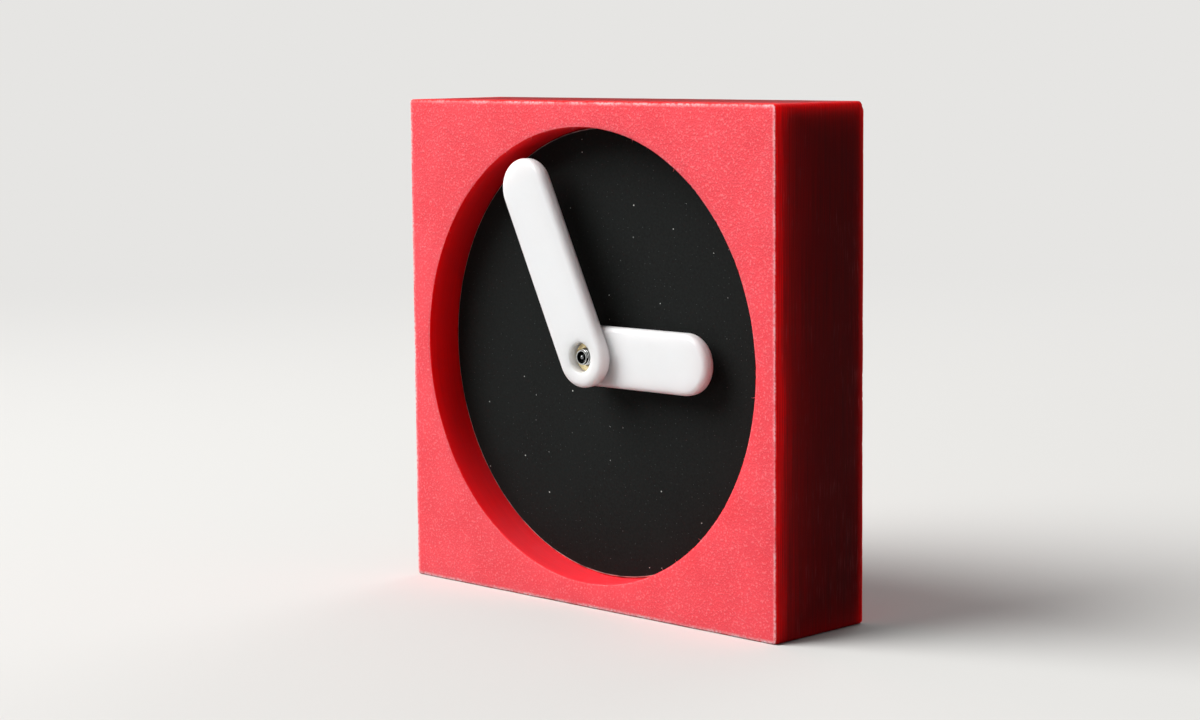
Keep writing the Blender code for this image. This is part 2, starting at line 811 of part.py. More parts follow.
def pilot_hole(place, mouth):
    bottom = mouth - SCREW_LENGTH - END_PLAY
    return drum("pilot_hole", SCREW_RADIUS + RUNNING_GAP, bottom, mouth + OVERRUN, place, PIVOT_SIDES)


def partition(half_length, front, back):
    """The wall between the train and the battery bay."""
    return brick("partition", (-half_length, partition_bottom), (half_length, partition_top), front, back)


def movement_front_case():
    """The tray that the train stands in, with its posts, pillars and battery bay."""
    case = slab(
        "movement_front_case",
        [rounded_rectangle(housing_low, housing_high, HOUSING_CORNER)],
        movement_front,
        seam_front,
    )
    cavity = slab(
        "cavity",
        [rounded_rectangle(inner_low, inner_high, HOUSING_CORNER - WALL)],
        floor_back,
        seam_front + OVERRUN,
    )
    carve(case, cavity)
    sleeve_radius = bearing(SETTING_PIVOT_RADIUS) + SLEEVE_WALL
    fuse(
        case,
        partition(inner_side - PARTITION_NOTCH, floor_back - FLOOR / 2, seam_front),
        post("third_post", POST_RADIUS, centre_wheel_front - WHEEL_GAP, third),
        post("motion_pin", MOTION_PIN_RADIUS, motion_wheel_back + END_PLAY / 2, motion),
        post("setting_sleeve", sleeve_radius, motion_wheel_front - WHEEL_GAP, setting),
        post("lower_core_post", PILLAR_BASE_RADIUS, stator_front - END_PLAY, lower_core_screw),
        post("upper_core_post", PILLAR_BASE_RADIUS, stator_front - END_PLAY, upper_core_screw),
        *[stepped_pillar(place) for place in pillars],
        *[post("board_post", BOARD_POST_RADIUS, board_front - END_PLAY, place) for place in board_posts()],
    )
    carve(
        case,
        drum("bushing_hole", bearing(BUSHING_RADIUS), movement_front - OVERRUN, floor_back + OVERRUN),
        drum("third_hole", bearing(PIVOT_RADIUS), floor_back, centre_wheel_front, third, PIVOT_SIDES),
        drum("setting_hole", bearing(SETTING_PIVOT_RADIUS), floor_back, motion_wheel_front, setting),
        pilot_hole(lower_core_screw, stator_front - END_PLAY),
        pilot_hole(upper_core_screw, stator_front - END_PLAY),
        *[pilot_hole(place, bridge_front - END_PLAY) for place in pillars],
    )
    return finish(case, GREY_HOUSING)


def board_posts():
    """The posts under the circuit board, half its width in from each end."""
    middle = (board_top + board_bottom) / 2
    inset = BOARD_WIDTH / 2
    return ((board_left + inset, middle), (board_right - inset, middle))


def movement_rear_cover():
    """The lid, with the battery bay's opening and the well that the setting knob sits in."""
    cover = slab(
        "movement_rear_cover",
        [rounded_rectangle(housing_low, housing_high, HOUSING_CORNER)],
        seam_back,
        movement_back,
    )
    hollow = slab(
        "hollow",
        [rounded_rectangle(inner_low, inner_high, HOUSING_CORNER - WALL)],
        seam_back - OVERRUN,
        rear_wall_front,
    )
    carve(cover, hollow)
    well_radius = KNOB_RADIUS + KNOB_RIPPLE + WELL_GAP
    middle_of_wall = movement_back - WALL / 2
    fuse(
        cover,
        drum("well_wall", well_radius + WELL_WALL, well_floor_front, middle_of_wall, setting),
        partition(inner_side + WALL / 2, seam_back, middle_of_wall),
    )
    opening_half = BATTERY_RADIUS + END_PLAY
    carve(
        cover,
        drum("well", well_radius, well_floor_back, movement_back + OVERRUN, setting),
        drum("shaft_hole", bearing(SETTING_SHAFT_RADIUS), seam_back, movement_back, setting),
        brick(
            "bay_opening",
            (-inner_side + BAY_END_LIP, battery_height - opening_half),
            (inner_side - END_PLAY, battery_height + opening_half),
            seam_back - OVERRUN,
            movement_back + OVERRUN,
        ),
    )
    return finish(cover, GREY_HOUSING)


def middle_plate():
    circles = [
        (centre, MINUTE_FLANGE_RADIUS + PLATE_MARGIN),
        (third, PLATE_MARGIN),
        (rotor, MAGNET_RADIUS),
        *[(place, PLATE_MARGIN) for place in pillars],
    ]
    plate = slab("middle_plate", [band_round(circles)], middle_plate_front, middle_plate_back)
    through = (middle_plate_front - OVERRUN, middle_plate_back + OVERRUN)
    carve(
        plate,
        drum("seconds_hole", bearing(SECONDS_ARBOR_RADIUS), *through),
        drum("third_hole", ARBOR_RADIUS + SEAT_GAP, *through, third),
        drum("fifth_hole", bearing(PIVOT_RADIUS), *through, fifth, PIVOT_SIDES),
        drum("rotor_hole", bearing(PIVOT_RADIUS), *through, rotor, PIVOT_SIDES),
        *[drum("pillar_hole", PILLAR_RADIUS + END_PLAY, *through, place, POST_SIDES) for place in pillars],
    )
    return finish(plate, GREY_HOUSING)


def train_bridge():
    circles = [(place, PLATE_MARGIN) for place in (centre, third, fifth, rotor, *pillars)]
    bridge = slab("train_bridge", [band_round(circles)], bridge_front, bridge_back)
    through = (bridge_front - OVERRUN, bridge_back + OVERRUN)
    pivots = (third, fifth, rotor)
    carve(
        bridge,
        drum("seconds_hole", bearing(SECONDS_ARBOR_RADIUS), *through),
        *[drum("pivot_hole", bearing(PIVOT_RADIUS), *through, place, PIVOT_SIDES) for place in pivots],
        *[drum("screw_hole", bearing(SCREW_RADIUS), *through, place, PIVOT_SIDES) for place in pillars],
    )
    return finish(bridge, WHITE_NYLON)


def screw_piece(name, head_front, place):
    """A slotted pan head screw whose head bears on a face at head_front and whose shank runs forwards."""
    head_back = head_front + SCREW_HEAD
    screw = turned(
        name,
        [
            (0.0, head_front - SCREW_LENGTH),
            (SCREW_RADIUS, head_front - SCREW_LENGTH),
            (SCREW_RADIUS, head_front),
            (SCREW_HEAD_RADIUS, head_front),
            (SCREW_HEAD_RADIUS, head_back),
            (0.0, head_back),
        ],
        sides=PIVOT_SIDES,
    )
    reach = SCREW_HEAD_RADIUS + SEAT_GAP
    carve(
        screw,
        brick(
            "slot",
            (-reach, -SCREW_SLOT / 2),
            (reach, SCREW_SLOT / 2),
            head_back - SCREW_SLOT_DEPTH,
            head_back + SCREW_SLOT_DEPTH,
        ),
    )
    return finish(screw, STEEL, place)


def hour_wheel(phase):
    """The hour wheel and the tube that carries the hour hand."""
    bore = bearing(MINUTE_TUBE_RADIUS)
    wheel = slab(
        "hour_wheel",
        [wheel_outline(HOUR_MODULE, HOUR_TEETH, phase), circle(centre, (bore + HOUR_TUBE_RADIUS) / 2)],
        hour_wheel_front,
        hour_wheel_back,
    )
    fuse(wheel, tube("hour_tube", HOUR_TUBE_RADIUS, bore, hour_tube_tip, hour_wheel_back + END_PLAY))
    return finish(wheel, WHITE_NYLON)


def motion_wheel(phase):
    """The motion wheel, which the minute pinion turns, and the pinion that turns the hour wheel."""
    bore = bearing(MOTION_PIN_RADIUS)
    wheel = slab(
        "motion_wheel",
        [wheel_outline(motion_module, MOTION_TEETH, phase), circle(centre, bore)],
        motion_wheel_front,
        motion_wheel_back,
    )
    pinion = slab(
        "pinion",
        [pinion_outline(HOUR_MODULE, MOTION_PINION_TEETH, phase), circle(centre, bore)],
        hour_wheel_front,
        motion_wheel_front + WHEEL_THICKNESS / 2,
    )
    fuse(wheel, pinion)
    return finish(wheel, WHITE_NYLON, motion)


def minute_arbor(phase):
    """The tube that carries the minute hand, with its pinion and the flange that the clutch presses on."""
    arbor = turned(
        "minute_arbor",
        [
            (MINUTE_TUBE_RADIUS, minute_tip),
            (MINUTE_TUBE_RADIUS, minute_flange_front),
            (MINUTE_FLANGE_RADIUS, minute_flange_front),
            (MINUTE_FLANGE_RADIUS, minute_flange_back),
            (MINUTE_BORE_RADIUS, minute_flange_back),
            (MINUTE_BORE_RADIUS, minute_tip + MINUTE_TIP_BORE_DEPTH),
            (MINUTE_TIP_BORE, minute_tip + MINUTE_TIP_BORE_DEPTH),
            (MINUTE_TIP_BORE, minute_tip),
        ],
        closed=True,
    )
    pinion = slab(
        "pinion",
        [
            pinion_outline(motion_module, MINUTE_PINION_TEETH, phase),
            circle(centre, (MINUTE_BORE_RADIUS + MINUTE_TUBE_RADIUS) / 2),
        ],
        motion_wheel_front,
        motion_wheel_back,
    )
    fuse(arbor, pinion)
    return finish(arbor, STEEL)


def centre_wheel(phase):
    wheel = slab(
        "centre_wheel",
        [wheel_outline(centre_module, CENTRE_TEETH, phase), circle(centre, bearing(MINUTE_TUBE_RADIUS))],
        centre_wheel_front,
        centre_wheel_back,
    )
    return finish(wheel, BRASS)


def clutch_spring():
    """The three-armed washer through which the centre wheel grips the minute arbor."""
    spring = slab(
        "clutch_spring",
        [
            rippled_circle(CLUTCH_RADIUS, CLUTCH_RIPPLE, CLUTCH_ARMS, CLUTCH_STEPS),
            circle(centre, MINUTE_TUBE_RADIUS + END_PLAY),
        ],
        clutch_front,
        clutch_back,
    )
    return finish(spring, STEEL)


def arbor_with(name, wheel, pinion, core, front, back, place, material):
    """A wheel and its pinion on one arbor, whose ends are turned down to pivots."""
    reach = (core[1], core[2])
    fuse(
        wheel,
        pinion,
        drum("arbor", core[0], *reach),
        drum("pivots", min(core[0], PIVOT_RADIUS), front, back, sides=PIVOT_SIDES),
    )
    wheel.name = name
    return finish(wheel, material, place)


def third_wheel(phase, pinion_phase):
    outline = wheel_outline(THIRD_MODULE, THIRD_TEETH, phase)
    wheel = slab("third_wheel", [outline], third_wheel_front, third_wheel_back)
    pinion = slab(
        "pinion",
        [pinion_outline(centre_module, THIRD_PINION_TEETH, pinion_phase)],
        centre_wheel_front,
        centre_wheel_back,
    )
    core = (ARBOR_RADIUS, (centre_wheel_front + centre_wheel_back) / 2, bridge_front - END_PLAY)
    pivot_front = centre_wheel_front - WHEEL_GAP - FLOOR
    return arbor_with("third_wheel", wheel, pinion, core, pivot_front, bridge_back, third, BRASS)


def seconds_wheel(phase, pinion_phase):
    """The seconds wheel, whose arbor runs forwards through the minute arbor to its tip."""
    outline = wheel_outline(SECONDS_MODULE, SECONDS_TEETH, phase)
    wheel = slab("seconds_wheel", [outline], seconds_wheel_front, seconds_wheel_back)
    pinion = slab(
        "pinion",
        [pinion_outline(THIRD_MODULE, SECONDS_PINION_TEETH, pinion_phase)],
        third_wheel_front,
        seconds_wheel_front + WHEEL_THICKNESS / 2,
    )
    fuse(wheel, pinion, drum("arbor", SECONDS_ARBOR_RADIUS, seconds_tip, bridge_back, sides=PIVOT_SIDES))
    return finish(wheel, STEEL)


def fifth_wheel(phase, pinion_phase):
    outline = wheel_outline(ROTOR_MODULE, FIFTH_TEETH, phase)
    wheel = slab("fifth_wheel", [outline], fifth_wheel_front, fifth_wheel_back)
    pinion = slab(
        "pinion",
        [pinion_outline(SECONDS_MODULE, FIFTH_PINION_TEETH, pinion_phase)],
        seconds_wheel_front,
        fifth_wheel_front + WHEEL_THICKNESS / 2,
    )
    fuse(wheel, pinion, drum("arbor", PIVOT_RADIUS, middle_plate_front, bridge_back, sides=PIVOT_SIDES))
    return finish(wheel, WHITE_NYLON, fifth)


def rotor_pinion(phase):
    pinion = slab(
        "rotor_pinion",
        [pinion_outline(ROTOR_MODULE, ROTOR_PINION_TEETH, phase)],
        fifth_wheel_front,
        fifth_wheel_back,
    )
    fuse(pinion, drum("arbor", PIVOT_RADIUS, middle_plate_front, bridge_back, sides=PIVOT_SIDES))
    return finish(pinion, WHITE_NYLON, rotor)


def rotor_magnet():
    magnet = tube("rotor_magnet", MAGNET_RADIUS, bearing(PIVOT_RADIUS), magnet_front, magnet_back)
    return finish(magnet, MAGNET, rotor)


def stator():
    """The pole piece: a bar with a ring round the rotor and a leg to each end of the coil's core."""
    left = rotor[0] - STATOR_BAR / 2
    bar_right = rotor[0] + STATOR_BAR / 2
    right = coil_right + STATOR_LEG / 2
    outline = [
        (left, core_bottom),
        (right, core_bottom),
        (right, core_bottom + STATOR_LEG),
        (bar_right, core_bottom + STATOR_LEG),
        (bar_right, core_top - STATOR_LEG),
        (right, core_top - STATOR_LEG),
        (right, core_top),
        (left, core_top),
    ]
    piece = slab("stator", [outline], stator_front, stator_back)
    fuse(piece, drum("ring", stator_ring_radius, stator_front, stator_back, rotor))
    through = (stator_front - OVERRUN, stator_back + OVERRUN)
    places = (lower_core_screw, upper_core_screw)
    carve(
        piece,
        drum("rotor_bore", STATOR_BORE, *through, rotor),
        *[drum("screw_hole", bearing(SCREW_RADIUS), *through, place, PIVOT_SIDES) for place in places],
    )
    return finish(piece, IRON)


def coil_core():
    half = CORE_WIDTH / 2
    low = (coil_right - half, core_bottom)
    high = (coil_right + half, core_top)
    core = brick("coil_core", low, high, core_front, core_back)
    through = (core_front - OVERRUN, core_back + OVERRUN)
    places = (lower_core_screw, upper_core_screw)
    screw_hole = bearing(SCREW_RADIUS)
    carve(core, *[drum("screw_hole", screw_hole, *through, place, PIVOT_SIDES) for place in places])
    return finish(core, IRON)


def along_coil(piece, material):
    """Stands a piece turned about the depth direction on the coil's axis, its front end up."""
    finish(piece, material, (coil_right, 0.0))
    piece.location.z = -coil_depth
    piece.rotation_euler = (-math.pi / 2, 0.0, 0.0)
    return piece


def coil_bobbin():
    top = -bobbin_top
    bottom = -bobbin_bottom
    bobbin = turned(
        "coil_bobbin",
        [
            (BOBBIN_FLANGE_RADIUS, top),
            (BOBBIN_FLANGE_RADIUS, top + BOBBIN_FLANGE),
            (BOBBIN_TUBE, top + BOBBIN_FLANGE),
            (BOBBIN_TUBE, bottom - BOBBIN_FLANGE),
            (BOBBIN_FLANGE_RADIUS, bottom - BOBBIN_FLANGE),
            (BOBBIN_FLANGE_RADIUS, bottom),
            (BOBBIN_BORE, bottom),
            (BOBBIN_BORE, top),
        ],
        closed=True,
    )
    return along_coil(bobbin, WHITE_NYLON)


def coil_winding():
    top = BOBBIN_FLANGE + END_PLAY - bobbin_top
    bottom = -bobbin_bottom - BOBBIN_FLANGE - END_PLAY
    bore = BOBBIN_TUBE + RUNNING_GAP
    winding = turned(
        "coil_winding",
        [
            (WINDING_RADIUS - WINDING_BELLY, top),
            (WINDING_RADIUS, (top + bottom) / 2),
            (WINDING_RADIUS - WINDING_BELLY, bottom),
            (bore, bottom),
            (bore, top),
        ],
        closed=True,
    )
    return along_coil(winding, COPPER)


def circuit_board():
    low = (board_left, board_bottom)
    high = (board_right, board_top)
    board = brick("circuit_board", low, high, board_front, board_back)
    return finish(board, BOARD)


def chip_cover():
    """The drop of epoxy over the chip, a shallow dome."""
    face = board_back + END_PLAY
    quarter = math.pi / 2
    rim = []
    for i in range(CORNER_STEPS):
        angle = quarter * i / CORNER_STEPS
        rim.append((CHIP_COVER_RADIUS * math.cos(angle), face + CHIP_COVER_RISE * math.sin(angle)))
    dome = turned("chip_cover", [(0.0, face), *rim, (0.0, face + CHIP_COVER_RISE)])
    middle = (board_top + board_bottom) / 2
    return finish(dome, EPOXY, (board_left + (board_right - board_left) / 3, middle))


def quartz_crystal():
    """The crystal's can, lying along the board."""
    half = CRYSTAL_LENGTH / 2
    can = turned(
        "quartz_crystal",
        [
            (0.0, -half),
            (CRYSTAL_RADIUS - CRYSTAL_EDGE, -half),
            (CRYSTAL_RADIUS, CRYSTAL_EDGE - half),
            (CRYSTAL_RADIUS, half),
            (0.0, half),
        ],
    )
    middle = (board_top + board_bottom) / 2
    finish(can, STEEL, (board_left + (board_right - board_left) * 2 / 3, middle))
    can.location.z = -(board_back + END_PLAY + CRYSTAL_RADIUS)
    can.rotation_euler = (0.0, math.pi / 2, 0.0)
    return can


def strip(name, path):
    """A bent contact strip: a line of places, as wide as the strip, given its thickness."""
    front = battery_depth - STRIP_WIDTH / 2
    back = battery_depth + STRIP_WIDTH / 2
    mesh = bpy.data.meshes.new(name)
    bm = bmesh.new()
    line = [bm.verts.new((x, y, -front)) for x, y in path]
    edges = [bm.edges.new(pair) for pair in zip(line, line[1:])]
    swept = bmesh.ops.extrude_edge_only(bm, edges=edges)
    new_corners = [item for item in swept["geom"] if isinstance(item, bmesh.types.BMVert)]
    bmesh.ops.translate(bm, verts=new_corners, vec=(0.0, 0.0, front - back))
    bm.to_mesh(mesh)
    bm.free()
    piece = add_mesh(name, mesh)
    wall = piece.modifiers.new("sheet", "SOLIDIFY")
    wall.thickness = STRIP_THICKNESS
    wall.offset = 0.0
    wall.use_even_offset = True
    return finish(piece, STEEL)


def positive_contact():
    """Stands beside the cell's nub, and runs up the wall and along the top to the circuit board."""
    path = [
        (strip_side, battery_height - BATTERY_NUB_RADIUS - STRIP_WIDTH / 2),
        (strip_side, strip_top - HOUSING_CORNER),
        (strip_side - HOUSING_CORNER, strip_top),
        (board_right - BOARD_WIDTH, strip_top),
    ]
    return strip("positive_contact", path)


def negative_contact():
    """A leaf that bows out towards the cell's flat end, and a tail up the wall to the circuit board."""
    half = LEAF_SPAN / 2
    peak = -(battery_left - SEAT_GAP - STRIP_THICKNESS / 2)
    path = [
        (-strip_side, strip_top - HOUSING_CORNER),
        (-strip_side, battery_height + half),
        (-peak, battery_height + half / 4),
        (-peak, battery_height - half / 4),
        (-strip_side, battery_height - half),
    ]
    return strip("negative_contact", path)


def battery_cell():
    """The cell lies along the bay with its nub to the right."""
    shoulder = -BATTERY_NUB_LENGTH
    half = battery_length / 2
    cell = turned(
        "battery_cell",
        [
            (0.0, -half),
            (BATTERY_NUB_RADIUS, -half),
            (BATTERY_NUB_RADIUS, -half - shoulder),
            (BATTERY_RADIUS - BATTERY_EDGE, -half - shoulder),
            (BATTERY_RADIUS, BATTERY_EDGE - half - shoulder),
            (BATTERY_RADIUS, half - BATTERY_EDGE),
            (BATTERY_RADIUS - BATTERY_EDGE, half),
            (0.0, half),
        ],
        sides=CELL_SIDES,
    )
    finish(cell, BATTERY, ((battery_left + battery_right) / 2, battery_height))
    cell.location.z = -battery_depth
    cell.rotation_euler = (0.0, math.pi / 2, 0.0)
    return cell


def setting_knob(phase):
    """The knob, its shaft and the pinion that turns the motion wheel."""
    knob = slab(
        "setting_knob",
        [rippled_circle(KNOB_RADIUS, KNOB_RIPPLE, KNOB_FLUTES, RIPPLE_STEPS)],
        knob_front,
        knob_back,
    )
    pinion = slab(
        "pinion",
        [pinion_outline(motion_module, SETTING_PINION_TEETH, phase)],
        motion_wheel_front,
        motion_wheel_back,
    )
    pinion_middle = (motion_wheel_front + motion_wheel_back) / 2
    knob_middle = (knob_front + knob_back) / 2
    fuse(
        knob,
        drum("shaft", SETTING_SHAFT_RADIUS, pinion_middle, knob_middle),
        pinion,
        drum("pivot", SETTING_PIVOT_RADIUS, floor_back + SEAT_GAP, motion_wheel_back),
    )
    reach = KNOB_RADIUS - KNOB_SLOT
    carve(
        knob,
        brick(
            "slot",
            (-reach, -KNOB_SLOT / 2),
            (reach, KNOB_SLOT / 2),
            knob_back - KNOB_SLOT_DEPTH,
            knob_back + OVERRUN,
        ),
    )
    return finish(knob, WHITE_NYLON, setting)


def motion_work():
    """The gears between the minute arbor and the hour wheel, and the setting knob, in mesh."""
    minute_phase = 0.0
    motion_phase = meshing_phase(minute_phase, MINUTE_PINION_TEETH, MOTION_TEETH, MOTION_DIRECTION)
    back_to_centre = MOTION_DIRECTION + math.pi
    hour_phase = meshing_phase(motion_phase, MOTION_PINION_TEETH, HOUR_TEETH, back_to_centre)
    setting_phase = meshing_phase(motion_phase, MOTION_TEETH, SETTING_PINION_TEETH, SETTING_DIRECTION)
    minute_arbor(minute_phase)
    motion_wheel(motion_phase)
    hour_wheel(hour_phase)
    setting_knob(setting_phase)


def going_train():
    """The gears from the rotor to the centre wheel, in mesh."""
    seconds_phase = 0.0
    third_phase = meshing_phase(seconds_phase, SECONDS_PINION_TEETH, THIRD_TEETH, THIRD_DIRECTION)
    back_to_centre = THIRD_DIRECTION + math.pi
    centre_phase = meshing_phase(third_phase, THIRD_PINION_TEETH, CENTRE_TEETH, back_to_centre)
    fifth_phase = meshing_phase(seconds_phase, SECONDS_TEETH, FIFTH_PINION_TEETH, FIFTH_DIRECTION)
    rotor_phase = meshing_phase(fifth_phase, FIFTH_TEETH, ROTOR_PINION_TEETH, ROTOR_DIRECTION)
    seconds_wheel(seconds_phase, seconds_phase)
    third_wheel(third_phase, third_phase)
    centre_wheel(centre_phase)
    fifth_wheel(fifth_phase, fifth_phase)
    rotor_pinion(rotor_phase)


def build_clock():
    case_block()
    dial_plate()
    minute_hand()
    minute_hand_bush()
    hour_hand()
    hour_hand_bush()
    dial_nut()
    threaded_bushing()
    movement_front_case()
    middle_plate()
    train_bridge()
    movement_rear_cover()
    for number, place in enumerate(pillars, 1):
        screw_piece(f"bridge_screw_{number}", bridge_screw_front, place)
    for number, place in enumerate((lower_core_screw, upper_core_screw), 1):
        screw_piece(f"core_screw_{number}", core_screw_front, place)
    motion_work()
    clutch_spring()
    going_train()
    rotor_magnet()
    stator()
    coil_core()
    coil_bobbin()
    coil_winding()
    circuit_board()
    chip_cover()
    quartz_crystal()
    positive_contact()
    negative_contact()
    battery_cell()


build_clock()
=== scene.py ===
import json
import math

import bmesh
import bpy
import numpy as np
from mathutils import Matrix, Vector, noise

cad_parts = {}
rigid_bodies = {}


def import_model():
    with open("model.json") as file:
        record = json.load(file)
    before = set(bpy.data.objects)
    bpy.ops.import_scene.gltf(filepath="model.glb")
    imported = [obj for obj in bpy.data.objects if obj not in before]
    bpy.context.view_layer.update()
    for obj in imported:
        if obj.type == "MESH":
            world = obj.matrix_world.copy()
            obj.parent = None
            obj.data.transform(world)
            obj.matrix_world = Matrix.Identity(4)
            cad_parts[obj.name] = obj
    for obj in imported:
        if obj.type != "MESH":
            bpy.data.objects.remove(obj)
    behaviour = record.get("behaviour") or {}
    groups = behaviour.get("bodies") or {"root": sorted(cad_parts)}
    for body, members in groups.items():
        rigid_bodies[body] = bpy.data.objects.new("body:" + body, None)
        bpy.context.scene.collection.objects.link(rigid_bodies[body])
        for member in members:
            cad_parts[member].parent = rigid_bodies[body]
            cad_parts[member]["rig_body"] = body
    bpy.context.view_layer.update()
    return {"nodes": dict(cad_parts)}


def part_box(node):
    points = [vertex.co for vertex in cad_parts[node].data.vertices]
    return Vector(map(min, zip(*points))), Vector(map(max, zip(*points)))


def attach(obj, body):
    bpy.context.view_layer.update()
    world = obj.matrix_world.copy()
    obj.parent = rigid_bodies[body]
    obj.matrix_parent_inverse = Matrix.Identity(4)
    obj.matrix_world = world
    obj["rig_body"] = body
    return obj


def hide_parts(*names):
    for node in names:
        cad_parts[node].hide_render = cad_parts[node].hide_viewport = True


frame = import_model()
nodes = frame["nodes"]

# A square desk clock: a block of red sheet plastic with a round recess, two white bar hands and a quartz
# movement in its back. The front faces -Y, the hands' axis runs along Y, and every length is in metres.

MM = 0.001
TURN = 2 * math.pi
SHARP_ANGLE = math.radians(40)
FLAT_ANGLE = math.radians(1)
BEVEL_ANGLE = math.radians(35)
MERGE_DISTANCE = 1e-6
# Stands in for a cosine or a sine of zero where one is divided by
NEARLY_ZERO = 1e-12
# A rounding of three points has its middle one this share of its size away from either face
ARC_MIDDLE = 0.3

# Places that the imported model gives
block_low, block_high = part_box("case_block")
dial_low, dial_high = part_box("dial_plate")
FRONT = block_low.y
BACK = block_high.y
AXIS_HEIGHT = (block_low.z + block_high.z) / 2
HALF_SIDE = (block_high.x - block_low.x) / 2
DIAL_FRONT = dial_low.y
DIAL_BACK = dial_high.y
case_low, case_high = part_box("movement_front_case")
CASE_FRONT = case_low.y

# Block
BORE_RADIUS = 45.0 * MM
MOUTH_EDGE = 0.15 * MM
OUTER_EDGE = 0.25 * MM
BLOCK_CORNER = 0.8 * MM
POCKET_MARGIN = 2.0 * MM
POCKET_CORNER = 5.0 * MM
POCKET_EDGE = 0.25 * MM
SUPPORT = 0.12 * MM
BLOCK_SAMPLES = 1440
CORNER_SAMPLES = 25
CORNER_SPREAD = math.radians(0.7)
EDGE_STEPS = 4
BORE_RING_DEPTH = 4.0 * MM
SIDE_RINGS = (0.97, 0.95, 0.65, 0.35, 0.05, 0.03)

# Wear on the block's edges: fine nicks that gather in worn stretches, and one knocked corner
NICK_SIZE = 0.9 * MM
NICK_DEPTH = 0.12 * MM
NICK_START = 0.4
STRETCH_SIZE = 6.3 * MM
STRETCH_WEIGHT = 0.8
RUB_DEPTH = 0.04 * MM
RUB_START = -0.5
KNOCK_RADIUS = 1.6 * MM
KNOCK_DEPTH = 0.7 * MM
POCKET_SEED = 2.9
REAR_SEED = 3.7
FRONT_SEED = 8.1
MOUTH_SEED = 5.3

# Fibres that the cutter left round the recess's mouth. The curl is drawn for a fibre 1 long
BURR_COUNT = 70
BURR_SHARE = 0.5
BURR_LENGTH = 0.9 * MM
BURR_SHORTEST = 0.2
BURR_THICKNESS = 0.05 * MM
BURR_TIP = 0.3
BURR_LEAN = 0.8
BURR_CURL = ((0.0, 0.0, -0.2), (0.05, 0.0, 0.6), (0.4, 0.15, 0.9))
BURR_SEED = 7
BURR_PLACES = 720
BURR_POINTS = 6
BURR_SIDES = 5

# Dial plate
DIAL_HOLE_RADIUS = 3.8 * MM
DIAL_EDGE = 0.28 * MM
DIAL_EDGE_STEPS = 3
DIAL_SAMPLES = 360
# The rim takes this share of the edge's width, because the flats' outermost points are one width in
RIM_WIDTH = 0.9
# A face whose normal has this much of the axis in it belongs to one of the flats
FLAT_NORMAL = 0.999

# Hands
HAND_WIDTH = 12.0 * MM
HAND_ROUND = 1.0 * MM
HAND_BREAK = 0.12 * MM
HAND_END_SAMPLES = 96
HAND_SIDE_SAMPLES = 24
HAND_ROUND_STEPS = 8
MINUTE_HAND_LENGTH = 42.2 * MM
HOUR_HAND_LENGTH = 30.3 * MM
MINUTE_HAND_TURN = math.radians(25.8)
HOUR_HAND_TURN = math.radians(-89.7)
COUNTERBORE_RADIUS = 3.0 * MM
COUNTERBORE_DEPTH = 2.55 * MM
MINUTE_HOLE_RADIUS = 2.35 * MM
HOUR_HOLE_RADIUS = 3.45 * MM
HOUR_SEAT_RADIUS = 4.35 * MM
HOUR_SEAT_DEPTH = 0.65 * MM

# Bushes and shafts on the hands' axis
MINUTE_BUSH_FLANGE_RADIUS = 2.85 * MM
MINUTE_BUSH_FLANGE = 0.4 * MM
MINUTE_BUSH_BARREL = 2.2 * MM
MINUTE_BUSH_BORE = 1.75 * MM
MINUTE_BUSH_LEAD_IN = 0.18 * MM
HOUR_BUSH_BARREL = 3.3 * MM
HOUR_BUSH_FLANGE = 0.5 * MM
HOUR_BUSH_BORE = 2.6 * MM
TURNED_EDGE = 0.12 * MM
TURNED_SAMPLES = 96
MINUTE_TUBE_RADIUS = 1.45 * MM
MINUTE_TUBE_BORE = 1.1 * MM
MINUTE_CREST = 0.13 * MM
MINUTE_THREAD_LENGTH = 4.0 * MM
MINUTE_PITCH = 0.45 * MM
MINUTE_LEAD = 1.5
SECONDS_RADIUS = 0.459 * MM
SECONDS_DOME = 0.8
SECONDS_DOME_START = 0.2
SECONDS_DOME_POINTS = 8
SECONDS_END_LENGTH = 2.0 * MM
SECONDS_SAMPLES = 32
THREAD_STEPS = 48
THREAD_SIDES = 4
BUSHING_RADIUS = 3.5 * MM
BUSHING_ROOT_RADIUS = 3.25 * MM
BUSHING_FLANGE = 0.6 * MM
BUSHING_PITCH = 0.6 * MM
BUSHING_LEAD = 1.2
NUT_BORE = 3.65 * MM
NUT_CORNER = 5.5 * MM
NUT_CHAMFER = 0.25 * MM
NUT_SLOPE = 0.6
NUT_LAND = 0.02 * MM
NUT_SAMPLES = 144

# Battery cell
CELL_NUB_RADIUS = 2.75 * MM
CELL_NUB_LENGTH = 1.3 * MM
CELL_NUB_ROUND = 0.3 * MM
CELL_NUB_FOOT = 0.6 * MM
CELL_NUB_FILLET = 0.15 * MM
CELL_DISH_START = 0.8
CELL_DISH_END = 0.75
CELL_ROUND = 0.6 * MM
CELL_FILM = 0.1 * MM
CELL_FILM_LAP = 0.9 * MM
CELL_GROOVE = 2.6 * MM
CELL_GROOVE_REACH = 0.7 * MM
CELL_GROOVE_DEPTH = 0.12 * MM
CELL_BAND = 13.0 * MM
CELL_BAND_EDGE = 0.05 * MM
CELL_SEAM = math.radians(55)
CELL_SEAM_STEP = 0.07 * MM
CELL_SAMPLES = 120

# Ribs and marks on the rear cover
RIB_PLACE = 8.0 * MM
RIB_LENGTH = 20.0 * MM
RIB_WIDTH = 0.8 * MM
RIB_HEIGHT = 0.27 * MM
RIB_PITCH = 1.6 * MM
RIB_COUNT = 6
RIB_FULLNESS = 12.0
RIB_BLUNTNESS = 0.02
RIB_POINTS = 25
RIB_SIDES = 16
MARK_LENGTH = 3.2 * MM
MARK_RISE = 3.5 * MM

